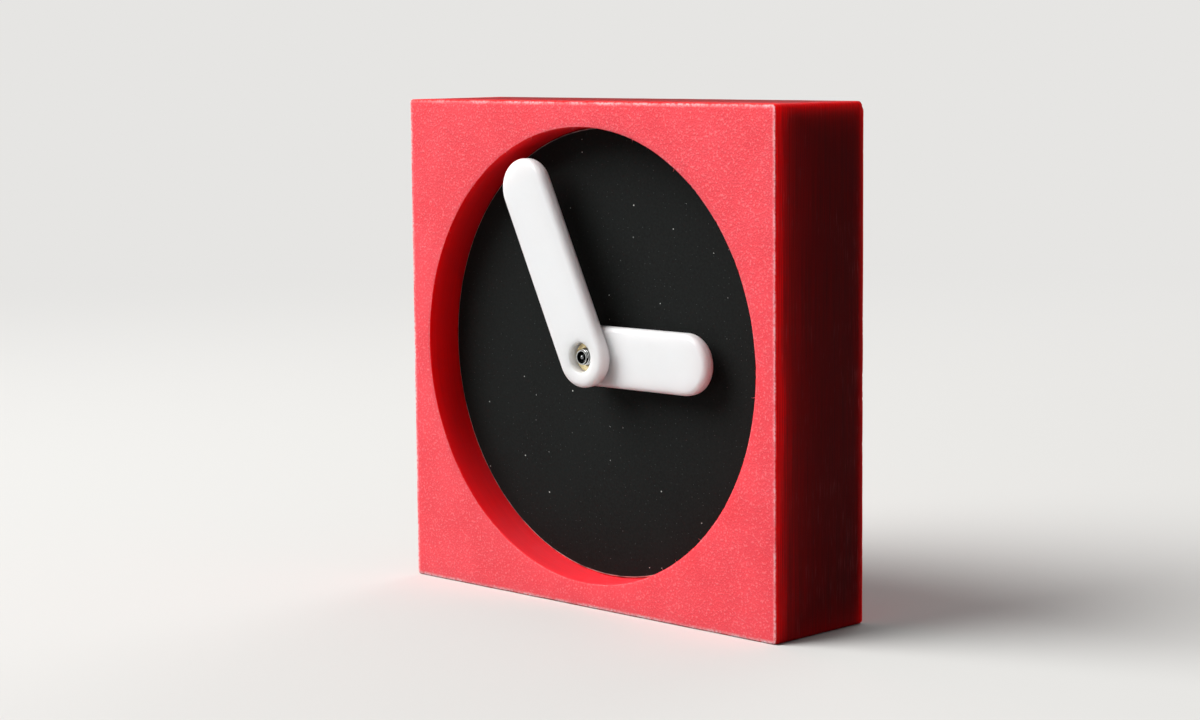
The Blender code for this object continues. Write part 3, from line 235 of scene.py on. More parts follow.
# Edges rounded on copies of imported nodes
SOFTENED = {
    "rear_cover": ("movement_rear_cover", "housing_plastic", 0.25 * MM),
    "front_case": ("movement_front_case", "housing_plastic", 0.2 * MM),
    "setting_wheel": ("setting_knob", "white_nylon", 0.1 * MM),
    "minute_tube": ("minute_arbor", "plated_steel", 0.05 * MM),
    "plus_contact": ("positive_contact", "steel_strip", 0.08 * MM),
    "minus_contact": ("negative_contact", "steel_strip", 0.08 * MM),
}

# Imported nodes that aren't turned about the hands' axis, and the finish that they get instead
STAMPED = {
    "bridge_screw_1": "steel_strip",
    "bridge_screw_2": "steel_strip",
    "bridge_screw_3": "steel_strip",
    "core_screw_1": "steel_strip",
    "core_screw_2": "steel_strip",
    "quartz_crystal": "steel_strip",
    "third_wheel": "brass_sheet",
}


# Mesh making


def ring(radii, y, angles):
    """Points at these radii and this y round the hands' axis."""
    radii = np.broadcast_to(np.asarray(radii, float), angles.shape)
    up = AXIS_HEIGHT + radii * np.sin(angles)
    return np.stack([radii * np.cos(angles), np.broadcast_to(np.asarray(y, float), angles.shape), up], axis=1)


def even_angles(count):
    """Angles that share out one turn."""
    return np.arange(count) * TURN / count


def skin(name, rings, loop=True, weights=None, finishes=None):
    """A closed solid through rings of points, each joined to the next. loop joins the last to the first, and
    otherwise each end is a single point. weights names point attributes and gives each ring's values, and
    finishes numbers the material of the band that starts at each ring."""
    starts = np.cumsum([0] + [len(points) for points in rings])
    pairs = list(zip(range(len(rings) - 1), range(1, len(rings))))
    if loop:
        pairs.append((len(rings) - 1, 0))
    count = max(len(points) for points in rings)
    here = np.arange(count)
    after = (here + 1) % count
    faces = []
    for a, b in pairs:
        one, two = starts[a], starts[b]
        if len(rings[a]) == 1:
            corners = [np.full(count, one), two + after, two + here]
        elif len(rings[b]) == 1:
            corners = [one + here, one + after, np.full(count, two)]
        else:
            corners = [one + here, one + after, two + after, two + here]
        faces += np.stack(corners, axis=1).tolist()
    points = np.concatenate(rings)
    mesh = bpy.data.meshes.new(name)
    mesh.from_pydata(points.tolist(), [], faces)
    for key, values in (weights or {}).items():
        attribute = mesh.attributes.new(key, "FLOAT", "POINT")
        spread = [np.broadcast_to(np.asarray(value, float), (len(r),)) for value, r in zip(values, rings)]
        attribute.data.foreach_set("value", np.concatenate(spread).astype(np.float32))
    if finishes:
        mesh.polygons.foreach_set("material_index", np.repeat(finishes[: len(pairs)], count))
    face_outwards(mesh)
    return add_piece(name, mesh)


def face_outwards(mesh):
    """Turns a closed mesh's faces outwards."""
    bm = bmesh.new()
    bm.from_mesh(mesh)
    if bm.calc_volume(signed=True) < 0:
        bmesh.ops.reverse_faces(bm, faces=bm.faces)
    bm.to_mesh(mesh)
    bm.free()


def add_piece(name, mesh):
    """Puts a mesh in the scene, shaded smooth but for its sharp edges."""
    mesh.shade_smooth()
    mesh.set_sharp_from_angle(angle=SHARP_ANGLE)
    piece = bpy.data.objects.new(name, mesh)
    bpy.context.scene.collection.objects.link(piece)
    return piece


def rounded(profile, rounding, steps=5, support=0.0):
    """A closed profile of (radius, y) corners with each corner turned to an arc. rounding gives one radius a
    corner, and support adds a point beside each arc so that flats stay flat."""
    out = []
    count = len(profile)
    for i, (corner, size) in enumerate(zip(profile, rounding)):
        corner = Vector(corner)
        if size <= 0:
            out.append(tuple(corner))
            continue
        back = (Vector(profile[i - 1]) - corner).normalized()
        on = (Vector(profile[(i + 1) % count]) - corner).normalized()
        half_opening = back.angle(on) / 2
        reach = size / math.tan(half_opening)
        middle = corner + (back + on).normalized() * (size / math.sin(half_opening))
        first = corner + back * reach - middle
        last = corner + on * reach - middle
        start = math.atan2(first.y, first.x)
        sweep = (math.atan2(last.y, last.x) - start + math.pi) % TURN - math.pi
        if support:
            out.append(tuple(corner + back * (reach + support)))
        for step in range(steps + 1):
            angle = start + sweep * step / steps
            out.append((middle.x + size * math.cos(angle), middle.y + size * math.sin(angle)))
        if support:
            out.append(tuple(corner + on * (reach + support)))
    return out


def lathe(name, profile, samples=TURNED_SAMPLES, loop=True):
    """Turns a profile of (radius, y) about the hands' axis. Without loop its ends are on the axis."""
    angles = even_angles(samples)
    rings = [ring(r, y, angles if r > 0 else angles[:1]) for r, y in profile]
    return skin(name, rings, loop)


def frame_radius(angles, low, high, corner):
    """Distance from the hands' axis to a rounded rectangle, at each angle."""
    cos, sin = np.cos(angles), np.sin(angles)
    wide = np.where(cos > 0, high[0], -low[0])
    tall = np.where(sin > 0, high[1], -low[1])
    cos = np.maximum(np.abs(cos), NEARLY_ZERO)
    sin = np.maximum(np.abs(sin), NEARLY_ZERO)
    straight = np.minimum(wide / cos, tall / sin)
    if corner <= 0:
        return straight
    along = cos * (wide - corner) + sin * (tall - corner)
    inside = along**2 - (wide - corner) ** 2 - (tall - corner) ** 2 + corner**2
    curved = along + np.sqrt(np.maximum(inside, 0))
    on_corner = (inside > 0) & (curved * cos > wide - corner) & (curved * sin > tall - corner)
    return np.where(on_corner, curved, straight)


def copy_softened(name, node, width):
    """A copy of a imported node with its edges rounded."""
    bm = bmesh.new()
    bm.from_mesh(nodes[node].data)
    bmesh.ops.remove_doubles(bm, verts=bm.verts, dist=MERGE_DISTANCE)
    bmesh.ops.dissolve_limit(bm, angle_limit=FLAT_ANGLE, verts=bm.verts, edges=bm.edges)
    mesh = bpy.data.meshes.new(name)
    bm.to_mesh(mesh)
    bm.free()
    for layer in ("custom_normal", "UVMap"):
        if layer in mesh.attributes:
            mesh.attributes.remove(mesh.attributes[layer])
    piece = add_piece(name, mesh)
    bevel = piece.modifiers.new("soft_edges", "BEVEL")
    bevel.width = width
    bevel.segments = 2
    bevel.angle_limit = BEVEL_ANGLE
    bevel.harden_normals = True
    bake_modifiers(piece)
    return piece


def bake_modifiers(piece):
    """Turns a piece with modifiers into the plain mesh that they give."""
    bpy.context.view_layer.update()
    graph = bpy.context.evaluated_depsgraph_get()
    made = bpy.data.meshes.new_from_object(piece.evaluated_get(graph))
    piece.modifiers.clear()
    piece.data = made


def settle(piece, body, slot, *replaced, finish=None):
    """Gives a finished piece its material, its body and the nodes that it stands for."""
    if not piece.data.materials:
        piece.data.materials.append(materials[finish or slot])
    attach(piece, body)
    if replaced:
        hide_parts(*replaced)


# Nodes. These are the settings that many of them share

COLOUR = {"data_type": "RGBA"}
PLUS = {"operation": "ADD"}
MINUS = {"operation": "SUBTRACT"}
TIMES = {"operation": "MULTIPLY"}
TIMES_PLUS = {"operation": "MULTIPLY_ADD"}
OVER = {"operation": "DIVIDE"}
UNSIGNED = {"operation": "ABSOLUTE"}
LARGER = {"operation": "MAXIMUM"}
SMALLER = {"operation": "MINIMUM"}
ABOVE = {"operation": "GREATER_THAN"}
POWER_OF_E = {"operation": "EXPONENT"}
LENGTH = {"operation": "LENGTH"}


def add(tree, kind, settings=None, **inputs):
    """Adds a node with its settings, and sets its inputs or links them to a socket or a node's first output.
    An input goes by its name, with _ for a space, or by its number after an n."""
    made = tree.nodes.new(kind)
    for key, value in (settings or {}).items():
        setattr(made, key, value)
    for key, value in inputs.items():
        if key[1:].isdigit():
            socket = made.inputs[int(key[1:])]
        else:
            socket = next(s for s in made.inputs if s.enabled and s.name == key.replace("_", " "))
        if isinstance(value, bpy.types.Node):
            value = next(s for s in value.outputs if s.enabled)
        if isinstance(value, bpy.types.NodeSocket):
            tree.links.new(value, socket)
        else:
            socket.default_value = value
    return made


def new_tree(name, **sizes):
    """A Geometry Nodes tree with a named input for each size, besides a place, a turn and a material."""
    tree = bpy.data.node_groups.new(name, "GeometryNodeTree")
    tree.interface.new_socket("Geometry", in_out="OUTPUT", socket_type="NodeSocketGeometry")
    kinds = {float: "NodeSocketFloat", int: "NodeSocketInt"}
    for key, value in sizes.items():
        socket = tree.interface.new_socket(key, in_out="INPUT", socket_type=kinds[type(value)])
        socket.default_value = value
    for key in ("Place", "Turn"):
        tree.interface.new_socket(key, in_out="INPUT", socket_type="NodeSocketVector")
    tree.interface.new_socket("Material", in_out="INPUT", socket_type="NodeSocketMaterial")
    return tree, add(tree, "NodeGroupInput").outputs


def close_tree(tree, given, shape):
    """Makes a shape's instances real, turns and places it, and gives it its material."""
    real = add(tree, "GeometryNodeRealizeInstances", Geometry=shape)
    moved = add(
        tree, "GeometryNodeTransform", Geometry=real, Translation=given["Place"], Rotation=given["Turn"]
    )
    done = add(tree, "GeometryNodeSetMaterial", Geometry=moved, Material=given["Material"])
    add(tree, "NodeGroupOutput", Geometry=done)
    return tree


def helix_tree():
    """A ridge that winds round the Z axis, as a thread's crest does."""
    tree, given = new_tree("helix", Radius=MM, Pitch=MM, Length=MM, Ridge=MM, Steps=THREAD_STEPS)
    turns = add(tree, "ShaderNodeMath", OVER, n0=given["Length"], n1=given["Pitch"])
    line = add(
        tree,
        "GeometryNodeCurveSpiral",
        Resolution=given["Steps"],
        Rotations=turns,
        Start_Radius=given["Radius"],
        End_Radius=given["Radius"],
        Height=given["Length"],
    )
    upright = add(tree, "GeometryNodeSetCurveNormal", {"mode": "Z_UP"}, Curve=line)
    section = add(tree, "GeometryNodeCurvePrimitiveCircle", Resolution=THREAD_SIDES, Radius=given["Ridge"])
    ridge = add(tree, "GeometryNodeCurveToMesh", Curve=upright, Profile_Curve=section, Fill_Caps=True)
    return close_tree(tree, given, ridge)


def burr_tree():
    """Short curled fibres that the cutter left round a mouth. They point inwards and stay under its plane."""
    tree, given = new_tree("burrs", Radius=MM, Length=MM, Depth=MM, Count=1, Seed=0)
    mouth = add(tree, "GeometryNodeCurvePrimitiveCircle", Resolution=BURR_PLACES, Radius=given["Radius"])
    sunk = add(tree, "ShaderNodeCombineXYZ", Z=given["Depth"])
    lowered = add(tree, "GeometryNodeSetPosition", Geometry=mouth, Offset=sunk)
    places = add(tree, "GeometryNodeCurveToPoints", {"mode": "COUNT"}, Curve=lowered, Count=given["Count"])
    start, middle, end = BURR_CURL
    curl = add(
        tree, "GeometryNodeCurveQuadraticBezier", Resolution=BURR_POINTS, Start=start, Middle=middle, End=end
    )
    thickness = BURR_THICKNESS / BURR_LENGTH
    section = add(tree, "GeometryNodeCurvePrimitiveCircle", Resolution=BURR_SIDES, Radius=thickness)
    along = add(tree, "GeometryNodeSplineParameter").outputs["Factor"]
    taper = add(tree, "ShaderNodeMapRange", Value=along, To_Min=1.0, To_Max=BURR_TIP)
    fibre = add(
        tree, "GeometryNodeCurveToMesh", Curve=curl, Profile_Curve=section, Scale=taper, Fill_Caps=True
    )
    seed = given["Seed"]
    here = add(tree, "FunctionNodeRandomValue", {"data_type": "BOOLEAN"}, Probability=BURR_SHARE, Seed=seed)
    lean = add(
        tree,
        "FunctionNodeRandomValue",
        {"data_type": "FLOAT_VECTOR"},
        n0=(-BURR_LEAN, -BURR_LEAN, 0.0),
        n1=(BURR_LEAN, BURR_LEAN, TURN),
        Seed=seed,
    )
    size = add(tree, "FunctionNodeRandomValue", {"data_type": "FLOAT"}, n2=BURR_SHORTEST, n3=1.0, Seed=seed)
    length = add(tree, "ShaderNodeMath", TIMES, n0=size, n1=given["Length"])
    place = add(tree, "GeometryNodeInputPosition")
    inwards = add(tree, "ShaderNodeVectorMath", {"operation": "SCALE"}, Vector=place, Scale=-1.0)
    facing = add(tree, "FunctionNodeAlignRotationToVector", {"axis": "Z"}, Vector=inwards)
    turned = add(
        tree, "FunctionNodeRotateRotation", {"rotation_space": "LOCAL"}, Rotation=facing, Rotate_By=lean
    )
    placed = add(
        tree,
        "GeometryNodeInstanceOnPoints",
        Points=places,
        Selection=here,
        Instance=fibre,
        Rotation=turned,
        Scale=length,
    )
    real = add(tree, "GeometryNodeRealizeInstances", Geometry=placed)
    parts = add(tree, "ShaderNodeSeparateXYZ", Vector=add(tree, "GeometryNodeInputPosition"))
    under = add(tree, "ShaderNodeMath", SMALLER, n0=parts.outputs["Z"], n1=0.0)
    kept = add(tree, "ShaderNodeCombineXYZ", X=parts.outputs["X"], Y=parts.outputs["Y"], Z=under)
    return close_tree(tree, given, add(tree, "GeometryNodeSetPosition", Geometry=real, Position=kept))


def rib_tree():
    """Parallel moulded ribs with rounded tops and ends. Each lies along X on the Z = 0 plane, and they are
    spaced along Y."""
    tree, given = new_tree("ribs", Length=MM, Width=MM, Height=MM, Pitch=MM, Count=1)
    half = add(tree, "ShaderNodeMath", TIMES, n0=given["Length"], n1=0.5)
    back = add(tree, "ShaderNodeMath", TIMES, n0=half, n1=-1.0)
    line = add(
        tree,
        "GeometryNodeCurvePrimitiveLine",
        Start=add(tree, "ShaderNodeCombineXYZ", X=back),
        End=add(tree, "ShaderNodeCombineXYZ", X=half),
    )
    points = add(tree, "GeometryNodeResampleCurve", {"mode": "COUNT"}, Curve=line, Count=RIB_POINTS)
    section = add(tree, "GeometryNodeCurvePrimitiveCircle", Resolution=RIB_SIDES, Radius=1.0)
    share = add(tree, "GeometryNodeSplineParameter").outputs["Factor"]
    # Nearly full all along, and rounded off over the last tenth to a blunt end
    offset = add(tree, "ShaderNodeMath", TIMES_PLUS, n0=share, n1=2.0, n2=-1.0)
    offset = add(tree, "ShaderNodeMath", UNSIGNED, n0=offset)
    power = add(tree, "ShaderNodeMath", {"operation": "POWER"}, n0=offset, n1=RIB_FULLNESS)
    rest = add(tree, "ShaderNodeMath", MINUS, n0=1.0 + RIB_BLUNTNESS, n1=power)
    full = add(tree, "ShaderNodeMath", {"operation": "SQRT"}, n0=rest)
    rod = add(
        tree, "GeometryNodeCurveToMesh", Curve=points, Profile_Curve=section, Scale=full, Fill_Caps=True
    )
    half_width = add(tree, "ShaderNodeMath", TIMES, n0=given["Width"], n1=0.5)
    rib = add(
        tree,
        "GeometryNodeTransform",
        Geometry=rod,
        Scale=add(tree, "ShaderNodeCombineXYZ", X=1.0, Y=half_width, Z=given["Height"]),
    )
    step = add(tree, "ShaderNodeCombineXYZ", Y=given["Pitch"])
    places = add(tree, "GeometryNodeMeshLine", {"mode": "OFFSET"}, Count=given["Count"], Offset=step)
    return close_tree(tree, given, add(tree, "GeometryNodeInstanceOnPoints", Points=places, Instance=rib))


def plate_tree():
    """A round plate with a round hole and softened edges, flat on both faces. The rim attribute is 1 on its
    edge."""
    tree, given = new_tree("plate", Radius=MM, Hole=MM, Thickness=MM, Edge=MM)
    width = add(tree, "ShaderNodeMath", MINUS, n0=given["Radius"], n1=given["Hole"])
    middle = add(tree, "ShaderNodeMath", TIMES_PLUS, n0=width, n1=0.5, n2=given["Hole"])
    path = add(tree, "GeometryNodeCurvePrimitiveCircle", Resolution=DIAL_SAMPLES, Radius=middle)
    upright = add(tree, "GeometryNodeSetCurveNormal", {"mode": "Z_UP"}, Curve=path)
    section = add(tree, "GeometryNodeCurvePrimitiveQuadrilateral", Width=width, Height=given["Thickness"])
    edge, steps = given["Edge"], DIAL_EDGE_STEPS
    softened = add(tree, "GeometryNodeFilletCurve", {"mode": "POLY"}, Curve=section, Count=steps, Radius=edge)
    plate = add(tree, "GeometryNodeCurveToMesh", Curve=upright, Profile_Curve=softened)
    up = add(tree, "ShaderNodeSeparateXYZ", Vector=add(tree, "GeometryNodeInputNormal")).outputs["Z"]
    steep = add(tree, "ShaderNodeMath", UNSIGNED, n0=up)
    is_flat = add(tree, "ShaderNodeMath", ABOVE, n0=steep, n1=FLAT_NORMAL)
    faces = {"domain": "FACE"}
    faced = add(
        tree, "GeometryNodeSetShadeSmooth", faces, Geometry=plate, Selection=is_flat, Shade_Smooth=False
    )
    parts = add(tree, "ShaderNodeSeparateXYZ", Vector=add(tree, "GeometryNodeInputPosition")).outputs
    across = add(tree, "ShaderNodeCombineXYZ", X=parts["X"], Y=parts["Y"])
    reach = add(tree, "ShaderNodeVectorMath", LENGTH, Vector=across).outputs["Value"]
    rim_start = add(tree, "ShaderNodeMath", TIMES_PLUS, n0=edge, n1=-RIM_WIDTH, n2=given["Radius"])
    rim = add(tree, "ShaderNodeMath", ABOVE, n0=reach, n1=rim_start)
    marked = add(
        tree,
        "GeometryNodeStoreNamedAttribute",
        {"data_type": "FLOAT", "domain": "POINT"},
        Geometry=faced,
        Name="rim",
        Value=rim,
    )
    return close_tree(tree, given, marked)


def grown(name, tree, **values):
    """The plain mesh that a tree grows from these inputs."""
    piece = bpy.data.objects.new(name, bpy.data.meshes.new(name))
    bpy.context.scene.collection.objects.link(piece)
    grow = piece.modifiers.new("grow", "NODES")
    grow.node_group = tree
    for item in tree.interface.items_tree:
        if item.in_out == "INPUT" and item.name in values:
            grow[item.identifier] = values[item.name]
    bake_modifiers(piece)
    piece.data.set_sharp_from_angle(angle=SHARP_ANGLE)
    return piece


# Turned about X, a tree's Z axis runs back along the hands' axis, or out of the front
BACKWARDS = (-math.pi / 2, 0.0, 0.0)
BACKWARDS_UPRIGHT = (-math.pi / 2, math.pi / 2, 0.0)
FORWARDS = (math.pi / 2, 0.0, 0.0)


def wind_thread(name, body, slot, radius, ridge, pitch, front, length):
    """A thread's crest round a shaft on the hands' axis."""
    crest = grown(
        name,
        trees["helix"],
        Radius=radius,
        Ridge=ridge,
        Pitch=pitch,
        Length=length,
        Place=(0.0, front, AXIS_HEIGHT),
        Turn=BACKWARDS,
        Material=materials[slot],
    )
    settle(crest, body, slot)


# The red block


def square(angles, inset, corner):
    """Distance from the hands' axis to the block's outline, set in by this much."""
    half = HALF_SIDE - inset
    return frame_radius(angles, (-half, -half), (half, half), corner)


KNOCKED_CORNER = Vector((block_high.x, BACK, block_high.z))

# The block's two finishes, as its materials are numbered
PRESSED, SAWN = 0, 1


def worn(points, inward, seed):
    """Points of an edge pushed inwards in small nicks. inward gives each point's direction."""
    out = points.copy()
    for i, point in enumerate(points):
        place = Vector(point)
        fine = noise.noise(place / NICK_SIZE + Vector((seed, 0, 0)))
        stretch = noise.noise(place / STRETCH_SIZE + Vector((0, seed, 0)))
        nick = max(0.0, fine + STRETCH_WEIGHT * stretch - NICK_START) * NICK_DEPTH
        rub = max(0.0, stretch - RUB_START) * RUB_DEPTH
        knock = max(0.0, 1 - (place - KNOCKED_CORNER).length / KNOCK_RADIUS) * KNOCK_DEPTH
        out[i] += np.array(inward[i]) * (nick + rub + knock)
    return out


def make_block():
    """The block as one skin: down the bore, round the rear pocket, over the back, along the sides and over
    the front. The burrs round its mouth are a piece of their own."""
    low = (case_low.x - POCKET_MARGIN, case_low.z - AXIS_HEIGHT - POCKET_MARGIN)
    high = (case_high.x + POCKET_MARGIN, case_high.z - AXIS_HEIGHT + POCKET_MARGIN)
    spread = np.linspace(-CORNER_SPREAD, CORNER_SPREAD, CORNER_SAMPLES)
    corners = [math.pi / 4 + quarter * math.pi / 2 + spread for quarter in range(4)]
    angles = np.unique(np.round(np.concatenate([even_angles(BLOCK_SAMPLES), *corners]), decimals=6))
    outward = ring(1.0, 0.0, angles) - np.array([0.0, 0.0, AXIS_HEIGHT])
    rings, edge, bore, finishes = [], [], [], []

    def pocket(grow):
        return frame_radius(
            angles,
            (low[0] - grow, low[1] - grow),
            (high[0] + grow, high[1] + grow),
            POCKET_CORNER + grow,
        )

    def side(inset):
        return square(angles, inset, BLOCK_CORNER - inset)

    def mouth(grow):
        return BORE_RADIUS + grow

    def put(radii, y, finish=SAWN, pale=0.0):
        rings.append(ring(radii, y, angles))
        edge.append(pale)
        bore.append(1.0 if np.max(radii) < BORE_RADIUS + SUPPORT else 0.0)
        finishes.append(finish)

    def put_edge(radii_at, size, face_y, radial, seed, pale, from_face=True):
        """A rounded and worn edge between a face and a wall. radial is 1 where the block is outside the
        wall, and pale says how far its wear has whitened it at the face."""
        inwards = 1.0 if face_y < (FRONT + BACK) / 2 else -1.0
        push = outward * radial + np.array([0.0, inwards, 0.0])
        push /= np.linalg.norm(push, axis=1)[:, None]
        for step in range(EDGE_STEPS + 1):
            share = step / EDGE_STEPS if from_face else 1 - step / EDGE_STEPS
            angle = share * math.pi / 2
            y = face_y + inwards * size * (1 - math.cos(angle))
            points = ring(radii_at(size * (1 - math.sin(angle))), y, angles)
            rings.append(worn(points, push, seed))
            edge.append(pale * (1 - share) ** 2)
            bore.append(1.0 if radii_at is mouth else 0.0)
            finishes.append(SAWN)
        if not from_face:
            finishes[-1] = PRESSED

    # Bore, from its mouth to the floor of the recess
    for y in (MOUTH_EDGE + SUPPORT, MOUTH_EDGE + 4 * SUPPORT, BORE_RING_DEPTH):
        put(BORE_RADIUS, FRONT + y)
    put(BORE_RADIUS, CASE_FRONT - SUPPORT)
    put(BORE_RADIUS, CASE_FRONT)
    put(BORE_RADIUS - SUPPORT, CASE_FRONT)
    # Rear pocket
    put(pocket(SUPPORT), CASE_FRONT)
    put(pocket(0.0), CASE_FRONT)
    put(pocket(0.0), CASE_FRONT + SUPPORT)
    put(pocket(0.0), BACK - POCKET_EDGE - 4 * SUPPORT)
    put(pocket(0.0), BACK - POCKET_EDGE - SUPPORT)
    put_edge(pocket, POCKET_EDGE, BACK, 1.0, POCKET_SEED, pale=0.4, from_face=False)
    # Back face, sides and front face. Two rings beside an edge keep its wear out of the flat's shading
    for grow in (SUPPORT, 4 * SUPPORT):
        put(pocket(POCKET_EDGE + grow), BACK, PRESSED)
    for inset in (5 * SUPPORT, 2 * SUPPORT):
        put(side(OUTER_EDGE + inset), BACK, PRESSED)
    put_edge(side, OUTER_EDGE, BACK, -1.0, REAR_SEED, pale=0.8)
    for share in SIDE_RINGS:
        put(side(0.0), FRONT + (BACK - FRONT) * share)
    put_edge(side, OUTER_EDGE, FRONT, -1.0, FRONT_SEED, pale=1.0, from_face=False)
    for inset, pale in ((2 * SUPPORT, 0.6), (5 * SUPPORT, 0.0)):
        put(side(OUTER_EDGE + inset), FRONT, PRESSED, pale)
    for grow in (4 * SUPPORT, SUPPORT):
        put(mouth(MOUTH_EDGE + grow), FRONT, PRESSED)
    put_edge(mouth, MOUTH_EDGE, FRONT, 1.0, MOUTH_SEED, pale=0.3)
    block = skin("red_block", rings, weights={"edge": edge, "bore": bore}, finishes=finishes)
    for finish in ("red_plastic", "red_sawn"):
        block.data.materials.append(materials[finish])
    settle(block, "case", "red_plastic", "case_block")
    burrs = grown(
        "mouth_burrs",
        trees["burrs"],
        Radius=mouth(MOUTH_EDGE / 2),
        Length=BURR_LENGTH,
        Depth=-MOUTH_EDGE / 2,
        Count=BURR_COUNT,
        Seed=BURR_SEED,
        Place=(0.0, FRONT, AXIS_HEIGHT),
        Turn=FORWARDS,
        Material=materials["red_plastic"],
    )
    settle(burrs, "case", "red_plastic")


# Dial plate


def make_dial():
    """The black plate at the bottom of the recess."""
    plate = grown(
        "dial_disc",
        trees["plate"],
        Radius=dial_high.x,
        Hole=DIAL_HOLE_RADIUS,
        Thickness=DIAL_BACK - DIAL_FRONT,
        Edge=DIAL_EDGE,
        Place=(0.0, (DIAL_FRONT + DIAL_BACK) / 2, AXIS_HEIGHT),
        Turn=BACKWARDS,
        Material=materials["black_plate"],
    )
    settle(plate, "case", "black_plate", "dial_plate")


# Hands


def bar_outline(length):
    """A bar's outline, up from its hub on the axis: places on its middle line and the directions outwards."""
    tip = length - HAND_WIDTH / 2
    ends = np.linspace(0.0, math.pi, HAND_END_SAMPLES + 1)
    sides = np.linspace(0.0, 1.0, HAND_SIDE_SAMPLES + 2)[1:-1]
    round_tip = [((0.0, tip), (math.cos(a), math.sin(a))) for a in ends]
    left = [((0.0, tip * (1 - s)), (-1.0, 0.0)) for s in sides]
    round_hub = [((0.0, 0.0), (-math.cos(a), -math.sin(a))) for a in ends]
    right = [((0.0, tip * s), (1.0, 0.0)) for s in sides]
    both = np.array(round_tip + left + round_hub + right)
    return both[:, 0], both[:, 1]


def make_hand(name, node, body, length, turn, hole):
    """A bar hand. hole is its hole's profile, as (radius, y), from the front face to the back one."""
    low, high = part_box(node)
    middles, outward = bar_outline(length)
    rim = middles + outward * HAND_WIDTH / 2
    towards_rim = rim / np.linalg.norm(rim, axis=1)[:, None]
    cos, sin = math.cos(turn), math.sin(turn)

    def placed(flat, y):
        across = flat[:, 0] * cos - flat[:, 1] * sin
        up = flat[:, 0] * sin + flat[:, 1] * cos
        return np.stack([across, np.full(len(flat), y), AXIS_HEIGHT + up], axis=1)

    outer = rounded(
        [(HAND_WIDTH, high.y), (0.0, high.y), (0.0, low.y), (HAND_WIDTH, low.y)],
        (0.0, HAND_ROUND, HAND_ROUND, 0.0),
        steps=HAND_ROUND_STEPS,
        support=SUPPORT,
    )
    rings = [placed(towards_rim * radius, y) for radius, y in hole]
    rings += [placed(middles + outward * (HAND_WIDTH / 2 - inset), y) for inset, y in outer[1:-1]]
    settle(skin(name, rings), body, "white_acrylic", node)


def make_hands():
    """The minute hand with its counterbore, and the hour hand with the seat for its bush."""
    low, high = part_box("minute_hand")
    floor = low.y + COUNTERBORE_DEPTH
    mouth = COUNTERBORE_RADIUS + HAND_BREAK
    back_mouth = MINUTE_HOLE_RADIUS + HAND_BREAK
    minute_hole = [
        (mouth + SUPPORT, low.y),
        (mouth, low.y),
        (COUNTERBORE_RADIUS, low.y + HAND_BREAK),
        (COUNTERBORE_RADIUS, low.y + HAND_BREAK + SUPPORT),
        (COUNTERBORE_RADIUS, floor),
        (MINUTE_HOLE_RADIUS, floor),
        (MINUTE_HOLE_RADIUS, high.y - HAND_BREAK),
        (back_mouth, high.y),
        (back_mouth + SUPPORT, high.y),
    ]
    make_hand("minute_bar", "minute_hand", "minute", MINUTE_HAND_LENGTH, MINUTE_HAND_TURN, minute_hole)
    low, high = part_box("hour_hand")
    seat = high.y - HOUR_SEAT_DEPTH
    mouth = HOUR_HOLE_RADIUS + HAND_BREAK
    hour_hole = [
        (mouth + SUPPORT, low.y),
        (mouth, low.y),
        (HOUR_HOLE_RADIUS, low.y + HAND_BREAK),
        (HOUR_HOLE_RADIUS, seat),
        (HOUR_SEAT_RADIUS, seat),
        (HOUR_SEAT_RADIUS, high.y),
        (HOUR_SEAT_RADIUS + SUPPORT, high.y),
    ]
    make_hand("hour_bar", "hour_hand", "hour", HOUR_HAND_LENGTH, HOUR_HAND_TURN, hour_hole)


# Bushes and shafts on the hands' axis


def make_minute_bush():
    """The brass collar whose flange shows in the counterbore."""
    low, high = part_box("minute_hand_bush")
    step = low.y + MINUTE_BUSH_FLANGE
    profile = rounded(
        [
            (MINUTE_BUSH_FLANGE_RADIUS, low.y),
            (MINUTE_BUSH_FLANGE_RADIUS, step),
            (MINUTE_BUSH_BARREL, step),
            (MINUTE_BUSH_BARREL, high.y),
            (MINUTE_BUSH_BORE, high.y),
            (MINUTE_BUSH_BORE, low.y),
        ],
        (TURNED_EDGE, TURNED_EDGE, 0.0, TURNED_EDGE, TURNED_EDGE, MINUTE_BUSH_LEAD_IN),
        steps=3,
        support=SUPPORT / 3,
    )
    settle(lathe("minute_collar", profile), "minute", "brass", "minute_hand_bush")


def make_hour_bush():
    """The hour hand's own collar, with its flange at the back."""
    low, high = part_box("hour_hand_bush")
    step = high.y - HOUR_BUSH_FLANGE
    profile = rounded(
        [
            (HOUR_BUSH_BARREL, low.y),
            (HOUR_BUSH_BARREL, step),
            (high.x, step),
            (high.x, high.y),
            (HOUR_BUSH_BORE, high.y),
            (HOUR_BUSH_BORE, low.y),
        ],
        (TURNED_EDGE, 0.0, TURNED_EDGE, TURNED_EDGE, TURNED_EDGE, TURNED_EDGE),
        steps=2,
    )
    settle(lathe("hour_collar", profile), "hour", "brass", "hour_hand_bush")


def make_minute_thread():
    """The thread on the tube that carries the minute hand."""
    low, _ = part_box("minute_arbor")
    front = low.y + MINUTE_LEAD * MINUTE_CREST
    wind_thread(
        "minute_thread",
        "minute",
        "plated_steel",
        MINUTE_TUBE_RADIUS,
        MINUTE_CREST,
        MINUTE_PITCH,
        front,
        MINUTE_THREAD_LENGTH,
    )


